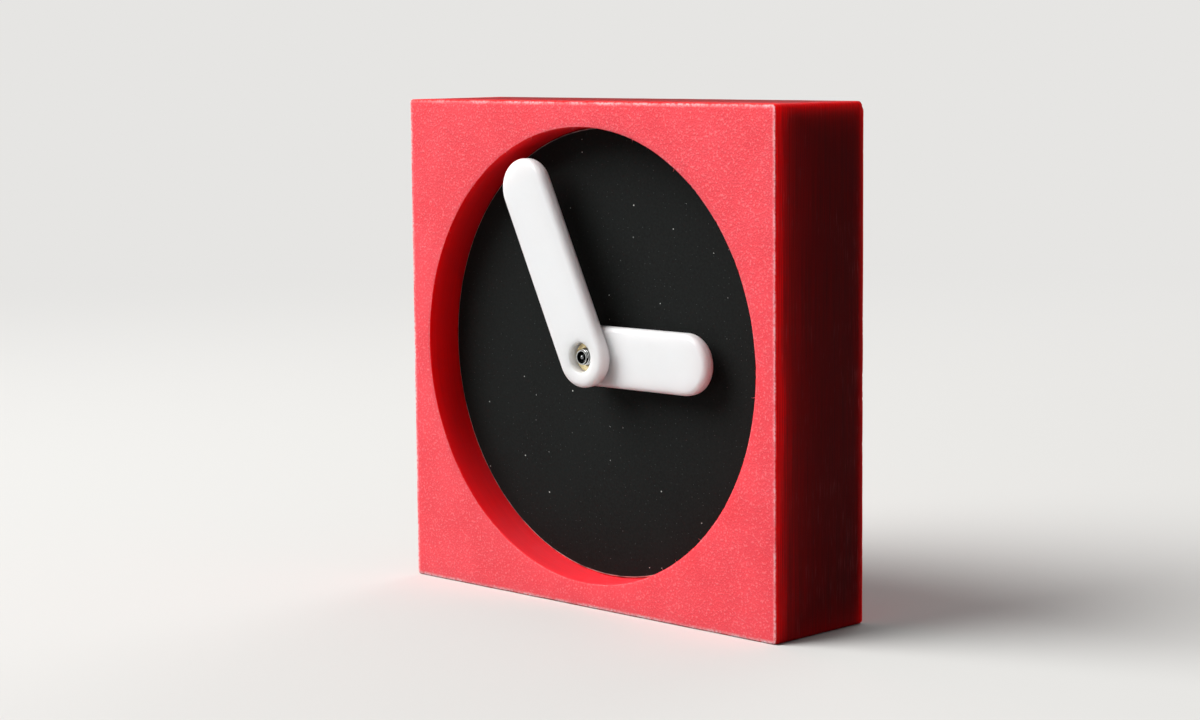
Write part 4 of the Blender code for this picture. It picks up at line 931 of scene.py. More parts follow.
def make_seconds_end():
    """The domed, burnished end of the seconds arbor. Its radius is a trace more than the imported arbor's."""
    low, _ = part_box("seconds_wheel")
    rise = SECONDS_RADIUS * SECONDS_DOME
    dome = np.linspace(SECONDS_DOME_START, math.pi / 2, SECONDS_DOME_POINTS)
    profile = [(0.0, low.y - rise)]
    profile += [(SECONDS_RADIUS * math.sin(a), low.y - rise * math.cos(a)) for a in dome]
    profile += [(SECONDS_RADIUS, low.y + SECONDS_END_LENGTH), (0.0, low.y + SECONDS_END_LENGTH)]
    end = lathe("seconds_arbor_end", profile, samples=SECONDS_SAMPLES, loop=False)
    settle(end, "seconds", "plated_steel", finish="arbor_steel")


def make_bushing():
    """The bushing that the dial nut draws up against the plate, threaded to its flange."""
    low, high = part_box("threaded_bushing")
    step = high.y - BUSHING_FLANGE
    thread_end = step - BUSHING_PITCH
    bore = HOUR_BUSH_BORE
    profile = [
        (BUSHING_ROOT_RADIUS - TURNED_EDGE, low.y),
        (BUSHING_ROOT_RADIUS, low.y + TURNED_EDGE),
        (BUSHING_ROOT_RADIUS, thread_end),
        (BUSHING_RADIUS, thread_end + TURNED_EDGE),
        (BUSHING_RADIUS, step),
        (high.x - TURNED_EDGE, step),
        (high.x, step + TURNED_EDGE),
        (high.x, high.y),
        (bore, high.y),
        (bore, low.y + TURNED_EDGE),
        (bore + TURNED_EDGE, low.y),
    ]
    settle(lathe("bushing_barrel", profile), "case", "brass", "threaded_bushing")
    ridge = BUSHING_RADIUS - BUSHING_ROOT_RADIUS
    front = low.y + BUSHING_LEAD * ridge
    length = thread_end - front - ridge
    wind_thread("bushing_thread", "case", "brass", BUSHING_ROOT_RADIUS, ridge, BUSHING_PITCH, front, length)


def make_nut():
    """A thin hexagon nut with its corners turned down and chamfered."""
    low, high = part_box("dial_nut")
    angles = even_angles(NUT_SAMPLES)
    hexagon = high.x / np.cos((angles + math.pi / 6) % (math.pi / 3) - math.pi / 6)
    hexagon = np.minimum(hexagon, NUT_CORNER)
    chamfered = np.minimum(hexagon, NUT_CORNER - NUT_CHAMFER)
    drop = (hexagon - chamfered) * NUT_SLOPE + NUT_LAND
    rings = [
        (NUT_BORE, low.y + TURNED_EDGE),
        (NUT_BORE + TURNED_EDGE, low.y),
        (chamfered, low.y),
        (hexagon, low.y + drop),
        (hexagon, high.y - drop),
        (chamfered, high.y),
        (NUT_BORE + TURNED_EDGE, high.y),
        (NUT_BORE, high.y - TURNED_EDGE),
    ]
    settle(skin("hexagon_nut", [ring(r, y, angles) for r, y in rings]), "case", "brass", "dial_nut")


# What shows from behind


def make_softened():
    """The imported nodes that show, with their edges rounded."""
    for name, (node, finish, width) in SOFTENED.items():
        settle(copy_softened(name, node, width), nodes[node]["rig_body"], slots[node], node, finish=finish)


def make_cover_marks():
    """Grip ribs above the battery bay, and a plain plus and minus at its ends."""
    _, cover_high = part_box("movement_rear_cover")
    cell_low, cell_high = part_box("battery_cell")
    height = cell_high.z + MARK_RISE
    minus = (cell_low.x + MARK_LENGTH, height)
    plus = (cell_high.x - MARK_LENGTH, height)
    ribs = (
        ("cover_ribs", (RIB_PLACE, height + MARK_LENGTH), RIB_LENGTH, RIB_COUNT, BACKWARDS),
        ("minus_mark", minus, MARK_LENGTH, 1, BACKWARDS),
        ("plus_mark", plus, MARK_LENGTH, 1, BACKWARDS),
        ("plus_mark_upright", plus, MARK_LENGTH, 1, BACKWARDS_UPRIGHT),
    )
    for name, (across, up), length, count, turn in ribs:
        piece = grown(
            name,
            trees["ribs"],
            Length=length,
            Width=RIB_WIDTH,
            Height=RIB_HEIGHT,
            Pitch=-RIB_PITCH,
            Count=count,
            Place=(across, cover_high.y, up),
            Turn=turn,
            Material=materials["housing_plastic"],
        )
        settle(piece, nodes["movement_rear_cover"]["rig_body"], "housing_plastic")


def make_cell():
    """A plain AA cell: a film jacket wrapped round a steel can and lapped over its ends. Its nub is to the
    right."""
    low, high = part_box("battery_cell")
    radius = (high.z - low.z) / 2
    start, end = low.x, high.x
    shoulder = end - CELL_NUB_LENGTH
    lap = radius - CELL_FILM_LAP
    groove = shoulder - CELL_GROOVE
    small = CELL_ROUND * ARC_MIDDLE
    nub_small = CELL_NUB_ROUND * ARC_MIDDLE
    film, steel = 0, 1
    profile = [
        (0.0, start + CELL_FILM, steel),
        (lap * CELL_DISH_END, start + CELL_FILM, steel),
        (lap * CELL_DISH_START, start, steel),
        (lap, start, film),
        (radius - CELL_ROUND, start, film),
        (radius - small, start + small, film),
        (radius, start + CELL_ROUND, film),
        (radius, groove - CELL_GROOVE_REACH, film),
        (radius - CELL_GROOVE_DEPTH, groove, film),
        (radius, groove + CELL_GROOVE_REACH, film),
        (radius, shoulder - CELL_ROUND, film),
        (radius - small, shoulder - small, film),
        (radius - CELL_ROUND, shoulder, film),
        (lap, shoulder, film),
        (lap - CELL_FILM, shoulder - CELL_FILM, steel),
        (CELL_NUB_RADIUS + CELL_NUB_FOOT, shoulder - CELL_FILM, steel),
        (CELL_NUB_RADIUS + CELL_NUB_FILLET, shoulder, steel),
        (CELL_NUB_RADIUS, shoulder + CELL_NUB_FILLET, steel),
        (CELL_NUB_RADIUS, end - CELL_NUB_ROUND, steel),
        (CELL_NUB_RADIUS - nub_small, end - nub_small, steel),
        (CELL_NUB_RADIUS - CELL_NUB_ROUND, end, steel),
        (0.0, end, steel),
    ]
    angles = even_angles(CELL_SAMPLES)
    wrap = (angles - CELL_SEAM) % TURN / TURN * CELL_SEAM_STEP
    height, depth = (low.z + high.z) / 2, (low.y + high.y) / 2
    rings = []
    for r, along, finish in profile:
        used = angles if r > 0 else angles[:1]
        reach = r - (wrap if finish == film else 0.0)
        x = np.full(len(used), along)
        rings.append(np.stack([x, depth + reach * np.sin(used), height + reach * np.cos(used)], axis=1))
    cell = skin("aa_cell", rings, loop=False, finishes=[finish for _, _, finish in profile])
    for finish in ("battery_jacket", "steel_strip"):
        cell.data.materials.append(materials[finish])
    settle(cell, "battery", "battery_jacket", "battery_cell")


# Materials

# Light painted into the red sheet's colour. The sawn sides get a painted glow behind the front and beside the
# corners, and the recess's wall is painted brighter over one stretch under the hands' axis and paler, as a
# painted highlight, over a lower one
GLOW_START = 1.5 * MM
GLOW_LENGTH = 4.5 * MM
CORNER_GLOW = 0.8
CORNER_GLOW_LENGTH = 3.0 * MM
WALL_PAINTED_BRIGHTER = (6.0 * MM, 26.0 * MM)
WALL_PAINTED_HIGHLIGHT = (33.0 * MM, 42.0 * MM)
FACE_SCATTER = 3.5 * MM
SIDE_SCATTER = 9.0 * MM
WALL_SCATTER = 4.5 * MM
SHEET_IOR = 1.51


def linear(text):
    """An sRGB hex colour as the linear values that a node's socket takes."""
    channels = [int(text[i : i + 2], 16) / 255 for i in (1, 3, 5)]
    return (*[c / 12.92 if c <= 0.04045 else ((c + 0.055) / 1.055) ** 2.4 for c in channels], 1.0)


def new_material(name):
    """A bare material: (material, its tree, the piece's Object coordinates)."""
    material = bpy.data.materials.new(name)
    material.use_nodes = True
    tree = material.node_tree
    tree.nodes.clear()
    return material, tree, add(tree, "ShaderNodeTexCoord").outputs["Object"]


def bruise_edges(tree, coords, colour):
    """The colour with its broken edges gone pale, as bruised polyethylene does. The edge attribute says
    where."""
    edge = add(tree, "ShaderNodeAttribute", {"attribute_name": "edge"}).outputs["Fac"]
    # Rubbed stretches of about 6 mm, broken up every 0.6 mm
    stretches = add(tree, "ShaderNodeTexNoise", Vector=coords, Scale=1 / (6 * MM), Detail=2.0)
    breaks = add(tree, "ShaderNodeTexNoise", Vector=coords, Scale=1 / (0.6 * MM), Detail=2.0)
    rubbed = add(tree, "ShaderNodeMapRange", Value=stretches, From_Min=0.38, From_Max=0.6, To_Min=0.3)
    broken = add(tree, "ShaderNodeMapRange", Value=breaks, From_Min=0.38, From_Max=0.56, To_Min=0.3)
    share = add(tree, "ShaderNodeMath", TIMES, n0=rubbed, n1=broken)
    share = add(tree, "ShaderNodeMath", TIMES, n0=share, n1=edge)
    return add(tree, "ShaderNodeMix", COLOUR, Factor=share, A=colour, B=linear("#FFC4C6"))


def polyethylene_pressed():
    """Red polyethylene sheet as it left the press: an even coral, made a little paler as a painted sheen,
    with a soft orange peel whose tops are painted paler as painted glints, and light scattered a few
    millimetres under the surface."""
    material, tree, coords = new_material("polyethylene_sheet_red_pressed")
    # Peel of 0.45 mm from crest to crest, as the front shows, with a grain of 0.22 mm on it, which is as
    # fine as can be seen
    peel = add(tree, "ShaderNodeTexNoise", Vector=coords, Scale=1 / (0.45 * MM), Detail=1.0)
    grain = add(tree, "ShaderNodeTexNoise", Vector=coords, Scale=1 / (0.22 * MM), Detail=1.0)
    clouds = add(tree, "ShaderNodeTexNoise", Vector=coords, Scale=1 / (9 * MM), Detail=3.0)
    tone = add(tree, "ShaderNodeMapRange", Value=clouds, From_Min=0.35, From_Max=0.65)
    # A little paler than the sheet itself, as a painted sheen, in two tones that vary at random
    colour = add(tree, "ShaderNodeMix", COLOUR, Factor=tone, A=linear("#EF3D4A"), B=linear("#F64653"))
    # Painted glints: the peel's tops are painted paler
    painted_crest_glints = add(tree, "ShaderNodeMapRange", Value=peel, From_Min=0.55, From_Max=0.75, To_Max=0.8)
    colour = add(tree, "ShaderNodeMix", COLOUR, Factor=painted_crest_glints, A=colour, B=linear("#FA7C83"))
    height = add(tree, "ShaderNodeMath", TIMES_PLUS, n0=grain, n1=0.45, n2=peel)
    relief = add(tree, "ShaderNodeBump", Height=height, Distance=0.1 * MM)
    shader = add(
        tree,
        "ShaderNodeBsdfPrincipled",
        Base_Color=bruise_edges(tree, coords, colour),
        Roughness=add(
            tree, "ShaderNodeMapRange", Value=grain, From_Min=0.3, From_Max=0.7, To_Min=0.3, To_Max=0.42
        ),
        IOR=SHEET_IOR,
        Normal=relief,
        Subsurface_Weight=0.6,
        Subsurface_Radius=(1.0, 0.06, 0.05),
        Subsurface_Scale=FACE_SCATTER,
    )
    add(tree, "ShaderNodeOutputMaterial", Surface=shader)
    return material


def painted_glow_of_sides(tree, parts):
    """How far the painted glow on the sawn sides reaches, as (behind the front alone, there and beside the
    corners).
    Each painted glow fades e-fold over its length, back from the front or in from the nearest corner."""
    full = FRONT + GLOW_START
    fading = (full - BACK) / GLOW_LENGTH
    depth = add(tree, "ShaderNodeMapRange", Value=parts["Y"], From_Min=full, From_Max=BACK, To_Max=fading)
    painted_glow_behind_front = add(tree, "ShaderNodeMath", POWER_OF_E, n0=depth)
    over = add(tree, "ShaderNodeMath", MINUS, n0=parts["Z"], n1=AXIS_HEIGHT)
    over = add(tree, "ShaderNodeMath", UNSIGNED, n0=over)
    beside = add(tree, "ShaderNodeMath", UNSIGNED, n0=parts["X"])
    lesser = add(tree, "ShaderNodeMath", SMALLER, n0=over, n1=beside)
    fading = -HALF_SIDE / CORNER_GLOW_LENGTH
    inwards = add(tree, "ShaderNodeMapRange", Value=lesser, From_Max=HALF_SIDE, To_Min=fading, To_Max=0.0)
    painted_glow_by_corner = add(tree, "ShaderNodeMath", POWER_OF_E, n0=inwards)
    painted_glow_by_corner = add(tree, "ShaderNodeMath", TIMES, n0=painted_glow_by_corner, n1=CORNER_GLOW)
    return painted_glow_behind_front, add(tree, "ShaderNodeMath", LARGER, n0=painted_glow_behind_front, n1=painted_glow_by_corner)


def down_the_wall(tree, parts, drops):
    """0 above a stretch under the hands' axis and 1 below it. drops gives the stretch's two ends."""
    start, end = (AXIS_HEIGHT - drop for drop in drops)
    return add(tree, "ShaderNodeMapRange", Value=parts["Z"], From_Min=start, From_Max=end)


def scratch_share(tree, coords, bore):
    """Pale scratches along the cut, on the sides alone. They gather where the block was handled, in patches
    of about 15 mm."""
    shorter = add(tree, "ShaderNodeMapping", Vector=coords, Scale=(0.05, 1.0, 0.05))
    scratches = add(tree, "ShaderNodeTexNoise", Vector=shorter, Scale=1 / (0.25 * MM), Detail=2.0)
    handled = add(tree, "ShaderNodeTexNoise", Vector=coords, Scale=1 / (15 * MM), Detail=2.0)
    handled = add(
        tree, "ShaderNodeMapRange", Value=handled, From_Min=0.35, From_Max=0.7, To_Min=-0.08, To_Max=0.06
    )
    gathered = add(tree, "ShaderNodeMath", PLUS, n0=scratches, n1=handled)
    strength = add(tree, "ShaderNodeMapRange", Value=bore, To_Min=0.28, To_Max=0.0)
    return add(tree, "ShaderNodeMapRange", Value=gathered, From_Min=0.62, From_Max=0.76, To_Max=strength)


def polyethylene_sawn():
    """The same sheet where it was sawn outside and routed inside: fine lines along the cut over a deep red,
    darkened in part as painted shade, and a painted glow towards the faces and corners, where light gets in
    and shines through."""
    material, tree, coords = new_material("polyethylene_sheet_red_sawn")
    parts = add(tree, "ShaderNodeSeparateXYZ", Vector=coords).outputs
    painted_glow_behind_front, glow = painted_glow_of_sides(tree, parts)
    # Painted glow: the deep red, which is partly painted shade, turns to a glowing red behind the front and
    # by the corners
    colour = add(tree, "ShaderNodeMix", COLOUR, Factor=glow, A=linear("#7A0A0F"), B=linear("#F41C22"))
    # The recess's wall is thin towards the lit side of the block, so its red is painted as a glow to its full
    # depth, and painted brighter lower down. The lowest part faces the light, which it sends straight back,
    # and is painted paler as a painted highlight
    bore = add(tree, "ShaderNodeAttribute", {"attribute_name": "bore"}).outputs["Fac"]
    lower = down_the_wall(tree, parts, WALL_PAINTED_BRIGHTER)
    brighter = add(tree, "ShaderNodeMath", LARGER, n0=painted_glow_behind_front, n1=lower)
    # Painted glow and painted light: the wall's red is brighter behind the front and lower down
    deep = add(tree, "ShaderNodeMix", COLOUR, Factor=brighter, A=linear("#E8141E"), B=linear("#FF222C"))
    colour = add(tree, "ShaderNodeMix", COLOUR, Factor=bore, A=colour, B=deep)
    # Painted highlight: the lowest part of the wall is painted paler
    lowest = add(tree, "ShaderNodeMath", TIMES, n0=down_the_wall(tree, parts, WALL_PAINTED_HIGHLIGHT), n1=bore)
    colour = add(tree, "ShaderNodeMix", COLOUR, Factor=lowest, A=colour, B=linear("#FF3640"))
    # Saw and cutter lines along the cut, drawn 0.3 mm apart because the saw's own tenth of a millimetre is
    # too fine to show. A cutter leaves fainter ones than a saw
    along = add(tree, "ShaderNodeMapping", Vector=coords, Scale=(0.012, 1.0, 0.012))
    lines = add(tree, "ShaderNodeTexNoise", Vector=along, Scale=1 / (0.3 * MM), Detail=3.0, Roughness=0.65)
    darkest = add(tree, "ShaderNodeMapRange", Value=bore, To_Min=0.5, To_Max=0.08)
    dark = add(
        tree, "ShaderNodeMapRange", Value=lines, From_Min=0.35, From_Max=0.65, To_Min=darkest, To_Max=0.0
    )
    colour = add(tree, "ShaderNodeMix", COLOUR, Factor=dark, A=colour, B=linear("#3A0306"))
    scratched = scratch_share(tree, coords, bore)
    colour = add(tree, "ShaderNodeMix", COLOUR, Factor=scratched, A=colour, B=linear("#C8686C"))
    shader = add(
        tree,
        "ShaderNodeBsdfPrincipled",
        Base_Color=bruise_edges(tree, coords, colour),
        Roughness=add(
            tree, "ShaderNodeMapRange", Value=lines, From_Min=0.3, From_Max=0.7, To_Min=0.55, To_Max=0.75
        ),
        IOR=SHEET_IOR,
        Normal=add(tree, "ShaderNodeBump", Height=lines, Distance=0.03 * MM, Strength=0.7),
        Specular_IOR_Level=0.04,
        Subsurface_Weight=add(tree, "ShaderNodeMapRange", Value=lowest, To_Min=1.0, To_Max=0.25),
        Subsurface_Radius=(1.0, 0.03, 0.03),
        Subsurface_Scale=add(
            tree, "ShaderNodeMapRange", Value=bore, To_Min=SIDE_SCATTER, To_Max=WALL_SCATTER
        ),
    )
    add(tree, "ShaderNodeOutputMaterial", Surface=shader)
    return material


def polystyrene_matte():
    """Black plate with a dead matte, faintly grained face, on which dust shows as pale specks, and a pale rim
    that is partly burr from trimming and partly a painted highlight along its edge."""
    material, tree, coords = new_material("polystyrene_plate_matte_black")
    grain = add(tree, "ShaderNodeTexNoise", Vector=coords, Scale=1 / (0.5 * MM), Detail=3.0, Roughness=0.7)
    clouds = add(tree, "ShaderNodeTexNoise", Vector=coords, Scale=1 / (16 * MM), Detail=3.0)
    tone = add(tree, "ShaderNodeMapRange", Value=grain, From_Min=0.35, From_Max=0.7)
    colour = add(tree, "ShaderNodeMix", COLOUR, Factor=tone, A=linear("#0C0E0D"), B=linear("#151817"))
    haze = add(tree, "ShaderNodeMapRange", Value=clouds, From_Min=0.4, From_Max=0.75, To_Max=0.5)
    colour = add(tree, "ShaderNodeMix", COLOUR, Factor=haze, A=colour, B=linear("#1D201F"))
    parts = add(tree, "ShaderNodeSeparateXYZ", Vector=coords).outputs
    flat = add(tree, "ShaderNodeCombineXYZ", X=parts["X"], Y=parts["Z"])
    # Fine dust every 1.4 mm or so, and a few specks of up to 0.4 mm: (cell, radius, share of cells left
    # bare, colour)
    for cell, radius, bare, pale in (
        (1.4 * MM, 0.1 * MM, 0.55, "#484C4A"),
        (3.5 * MM, 0.2 * MM, 0.9, "#C9CCC8"),
    ):
        cells = add(
            tree, "ShaderNodeTexVoronoi", {"voronoi_dimensions": "2D"}, Vector=flat, Scale=1 / cell
        ).outputs
        chances = add(tree, "ShaderNodeSeparateColor", Color=cells["Color"]).outputs
        full = radius / cell
        size = add(tree, "ShaderNodeMapRange", Value=chances["Green"], To_Min=0.35 * full, To_Max=full)
        share = add(tree, "ShaderNodeMath", OVER, n0=cells["Distance"], n1=size)
        inside = add(tree, "ShaderNodeMapRange", Value=share, From_Min=1.0, From_Max=0.5)
        kept = add(tree, "ShaderNodeMapRange", Value=chances["Red"], From_Min=bare, From_Max=bare + 0.05)
        speck = add(tree, "ShaderNodeMath", TIMES, n0=inside, n1=kept)
        colour = add(tree, "ShaderNodeMix", COLOUR, Factor=speck, A=colour, B=linear(pale))
    # Pale rim: partly burr from trimming and partly a painted highlight along the edge
    rim = add(tree, "ShaderNodeAttribute", {"attribute_name": "rim"}).outputs["Fac"]
    patches = add(tree, "ShaderNodeTexNoise", Vector=coords, Scale=1 / (3 * MM), Detail=3.0)
    pale_rim_burr_and_highlight = add(tree, "ShaderNodeMapRange", Value=patches, From_Min=0.35, From_Max=0.55, To_Min=0.35)
    pale_rim_burr_and_highlight = add(tree, "ShaderNodeMath", TIMES, n0=rim, n1=pale_rim_burr_and_highlight)
    colour = add(tree, "ShaderNodeMix", COLOUR, Factor=pale_rim_burr_and_highlight, A=colour, B=linear("#E6DAD4"))
    shader = add(
        tree,
        "ShaderNodeBsdfPrincipled",
        Base_Color=colour,
        Roughness=add(
            tree, "ShaderNodeMapRange", Value=clouds, From_Min=0.3, From_Max=0.7, To_Min=0.75, To_Max=0.9
        ),
        IOR=1.55,
        Specular_IOR_Level=0.1,
        Normal=add(tree, "ShaderNodeBump", Height=grain, Distance=0.04 * MM, Strength=0.5),
    )
    add(tree, "ShaderNodeOutputMaterial", Surface=shader)
    return material


def acrylic_white():
    """Opal acrylic bar, rubbed smooth: clean white with a soft gloss that varies where it was handled."""
    material, tree, coords = new_material("acrylic_opal_white_rubbed")
    clouds = add(tree, "ShaderNodeTexNoise", Vector=coords, Scale=1 / (6 * MM), Detail=2.0)
    rub = add(tree, "ShaderNodeTexNoise", Vector=coords, Scale=1 / (0.3 * MM), Detail=2.0)
    tone = add(tree, "ShaderNodeMapRange", Value=clouds, From_Min=0.3, From_Max=0.7)
    colour = add(tree, "ShaderNodeMix", COLOUR, Factor=tone, A=linear("#F9FAFA"), B=linear("#FBFCFC"))
    shader = add(
        tree,
        "ShaderNodeBsdfPrincipled",
        Base_Color=colour,
        Roughness=add(
            tree, "ShaderNodeMapRange", Value=rub, From_Min=0.3, From_Max=0.7, To_Min=0.3, To_Max=0.36
        ),
        IOR=1.49,
        Normal=add(tree, "ShaderNodeBump", Height=rub, Distance=0.006 * MM, Strength=0.4),
        Subsurface_Weight=1.0,
        Subsurface_Radius=(1.0, 0.97, 0.95),
        Subsurface_Scale=5 * MM,
    )
    add(tree, "ShaderNodeOutputMaterial", Surface=shader)
    return material


def turned_metal(name, dark, light, roughness, groove, shaded_rings=()):
    """Bar metal turned on a lathe about the hands' axis: fine rings that spread its gloss, and faint stains.
    groove is the rings' spacing, which is a finishing tool's feed, and the last argument gives the radii, as
    (middle, half width), that are painted black as shade in the hollows at the tube's mouth."""
    material, tree, coords = new_material(name)
    centred = add(tree, "ShaderNodeMapping", Vector=coords, Location=(0.0, 0.0, -AXIS_HEIGHT))
    parts = add(tree, "ShaderNodeSeparateXYZ", Vector=centred).outputs
    flat = add(tree, "ShaderNodeCombineXYZ", X=parts["X"], Y=parts["Z"])
    radius = add(tree, "ShaderNodeVectorMath", LENGTH, Vector=flat).outputs["Value"]
    along = add(tree, "ShaderNodeMath", PLUS, n0=radius, n1=parts["Y"])
    cycles = add(tree, "ShaderNodeMath", TIMES, n0=along, n1=TURN / groove)
    rings = add(tree, "ShaderNodeMath", {"operation": "SINE"}, n0=cycles)
    stain = add(tree, "ShaderNodeTexNoise", Vector=coords, Scale=1 / (1.2 * MM), Detail=3.0)
    tone = add(tree, "ShaderNodeMapRange", Value=stain, From_Min=0.35, From_Max=0.7)
    colour = add(tree, "ShaderNodeMix", COLOUR, Factor=tone, A=linear(dark), B=linear(light))
    # Painted shade: these rings are painted near black
    for middle, half_width in shaded_rings:
        here = add(tree, "ShaderNodeMath", {"operation": "COMPARE"}, n0=radius, n1=middle, n2=half_width)
        colour = add(tree, "ShaderNodeMix", COLOUR, Factor=here, A=colour, B=linear("#100F0E"))
    shader = add(
        tree,
        "ShaderNodeBsdfPrincipled",
        Metallic=1.0,
        Base_Color=colour,
        Roughness=add(
            tree, "ShaderNodeMapRange", Value=stain, To_Min=roughness * 0.6, To_Max=roughness * 1.4
        ),
        Normal=add(tree, "ShaderNodeBump", Height=rings, Distance=0.004 * MM, Strength=0.4),
    )
    add(tree, "ShaderNodeOutputMaterial", Surface=shader)
    return material


def grained(name, dark, light, roughness, grain, depth, patch, metallic=0.0, along=(1.0, 1.0, 1.0)):
    """A surface with a fine grain and faint patches: moulded plastic, rolled or sintered metal. The sizes
    of the grain, its relief and the patches are in millimetres, along stretches the grain, and metallic is
    1 for a metal."""
    material, tree, coords = new_material(name)
    stretched = add(tree, "ShaderNodeMapping", Vector=coords, Scale=along)
    fine = add(
        tree, "ShaderNodeTexNoise", Vector=stretched, Scale=1 / (grain * MM), Detail=2.0, Roughness=0.6
    )
    patches = add(tree, "ShaderNodeTexNoise", Vector=coords, Scale=1 / (patch * MM), Detail=3.0)
    tone = add(tree, "ShaderNodeMath", PLUS, n0=fine, n1=patches)
    tone = add(tree, "ShaderNodeMapRange", Value=tone, From_Min=0.75, From_Max=1.25)
    low, high = roughness * 0.85, roughness * 1.15
    shader = add(
        tree,
        "ShaderNodeBsdfPrincipled",
        Metallic=metallic,
        Base_Color=add(tree, "ShaderNodeMix", COLOUR, Factor=tone, A=linear(dark), B=linear(light)),
        Roughness=add(
            tree, "ShaderNodeMapRange", Value=patches, From_Min=0.3, From_Max=0.7, To_Min=low, To_Max=high
        ),
        Normal=add(tree, "ShaderNodeBump", Height=fine, Distance=depth * MM, Strength=0.6),
    )
    add(tree, "ShaderNodeOutputMaterial", Surface=shader)
    return material


def film_jacket():
    """Shrunk PVC film round a cell: silky grey with a darker band at the positive end, and faint lengthways
    creases where it shrank."""
    material, tree, coords = new_material("pvc_film_shrunk_grey")
    _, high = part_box("battery_cell")
    band = high.x - CELL_BAND
    along = add(tree, "ShaderNodeSeparateXYZ", Vector=coords).outputs["X"]
    clouds = add(tree, "ShaderNodeTexNoise", Vector=coords, Scale=1 / (7 * MM), Detail=1.0)
    tone = add(tree, "ShaderNodeMapRange", Value=clouds, From_Min=0.2, From_Max=0.8)
    colour = add(tree, "ShaderNodeMix", COLOUR, Factor=tone, A=linear("#848B8F"), B=linear("#8D9498"))
    banded = add(tree, "ShaderNodeMapRange", Value=along, From_Min=band, From_Max=band + CELL_BAND_EDGE)
    colour = add(tree, "ShaderNodeMix", COLOUR, Factor=banded, A=colour, B=linear("#2B3034"))
    stretched = add(tree, "ShaderNodeMapping", Vector=coords, Scale=(0.08, 1.0, 1.0))
    creases = add(tree, "ShaderNodeTexNoise", Vector=stretched, Scale=1 / (1.5 * MM), Detail=2.0)
    shader = add(
        tree,
        "ShaderNodeBsdfPrincipled",
        Base_Color=colour,
        Roughness=add(
            tree, "ShaderNodeMapRange", Value=clouds, From_Min=0.2, From_Max=0.8, To_Min=0.28, To_Max=0.36
        ),
        IOR=1.53,
        Normal=add(tree, "ShaderNodeBump", Height=creases, Distance=0.015 * MM, Strength=0.5),
    )
    add(tree, "ShaderNodeOutputMaterial", Surface=shader)
    return material


# How the grain is stretched along rolled strip and along a wire, and the metallic value of a metal
ROLLED = (0.15, 1.0, 1.0)
WOUND = (0.05, 0.05, 1.0)
METAL = 1.0

# Finishes with a grain: name, dark and light colour, roughness, grain, its relief and patches in millimetres
GRAINED = {
    # Burnished by its bearing, with hardly any marks, and darkened so that its mirror end shows a painted
    # dark reflection
    "arbor_steel": ("steel_arbor_burnished", "#6C6E70", "#85878A", 0.16, 0.2, 0.002, 1.0, METAL),
    # Rolled strip keeps the long streaks of its rolls under the bright plating
    "steel_strip": ("steel_strip_nickel_plated", "#A6A7A8", "#CFCFCE", 0.26, 0.3, 0.004, 3.0, METAL, ROLLED),
    # The same streaks on a warm yellow
    "brass_sheet": ("brass_sheet_stamped", "#A8863F", "#CBAA62", 0.3, 0.3, 0.004, 3.0, METAL, ROLLED),
    # Annealing leaves the iron a soft, dull grey
    "soft_iron": ("iron_strip_annealed", "#77797B", "#979899", 0.45, 0.3, 0.006, 3.0, METAL, ROLLED),
    # Pressed and fired powder, nearly black and without gloss
    "magnet": ("ferrite_sintered", "#363638", "#4C4C4E", 0.6, 0.2, 0.01, 2.0),
    # Copper under clear enamel, with its turns as fine ridges round the coil
    "copper_wire": ("copper_wire_enamelled", "#8A3F1E", "#B5602F", 0.35, 0.12, 0.03, 3.0, METAL, WOUND),
    # Spark-eroded moulds leave a fine, even grain that softens the black
    "housing_plastic": ("abs_moulded_black", "#141517", "#1E1F21", 0.48, 0.25, 0.03, 6.0),
    # Nylon without dye is a waxy off-white
    "white_nylon": ("nylon_moulded_natural", "#D6D3C6", "#E6E4DA", 0.42, 0.3, 0.01, 4.0),
    # The mask lies over a glass weave, which mottles its green
    "circuit_board": ("solder_mask_green", "#12482A", "#1B6335", 0.35, 0.5, 0.01, 4.0),
    # A set drop of resin, smooth and glossy
    "black_epoxy": ("epoxy_drop_black", "#0B0B0C", "#141415", 0.18, 1.0, 0.01, 2.0),
}


def make_materials():
    """Every finish, by the name of the record's slot or of the part of the slot that it serves."""
    # Radii painted black as shade round the minute tube's bore and outer edge
    tube_shade_rings = ((MINUTE_TUBE_BORE, 0.13 * MM), (MINUTE_TUBE_RADIUS, 0.04 * MM))
    made = {
        "red_plastic": polyethylene_pressed(),
        "red_sawn": polyethylene_sawn(),
        "black_plate": polystyrene_matte(),
        "white_acrylic": acrylic_white(),
        # A pale yellow that the lathe left bright
        "brass": turned_metal("brass_turned", "#D2BC84", "#EBDDB4", roughness=0.34, groove=0.09 * MM),
        # Nearly white and mirror bright, but painted black as shade round the tube's bore and outer edge
        "plated_steel": turned_metal(
            "steel_turned_nickel_plated", "#B9BBBC", "#E0E1E1", roughness=0.18, groove=0.07 * MM, shaded_rings=tube_shade_rings
        ),
        "battery_jacket": film_jacket(),
    }
    made.update({finish: grained(*values) for finish, values in GRAINED.items()})
    return made


# Stage, light and camera

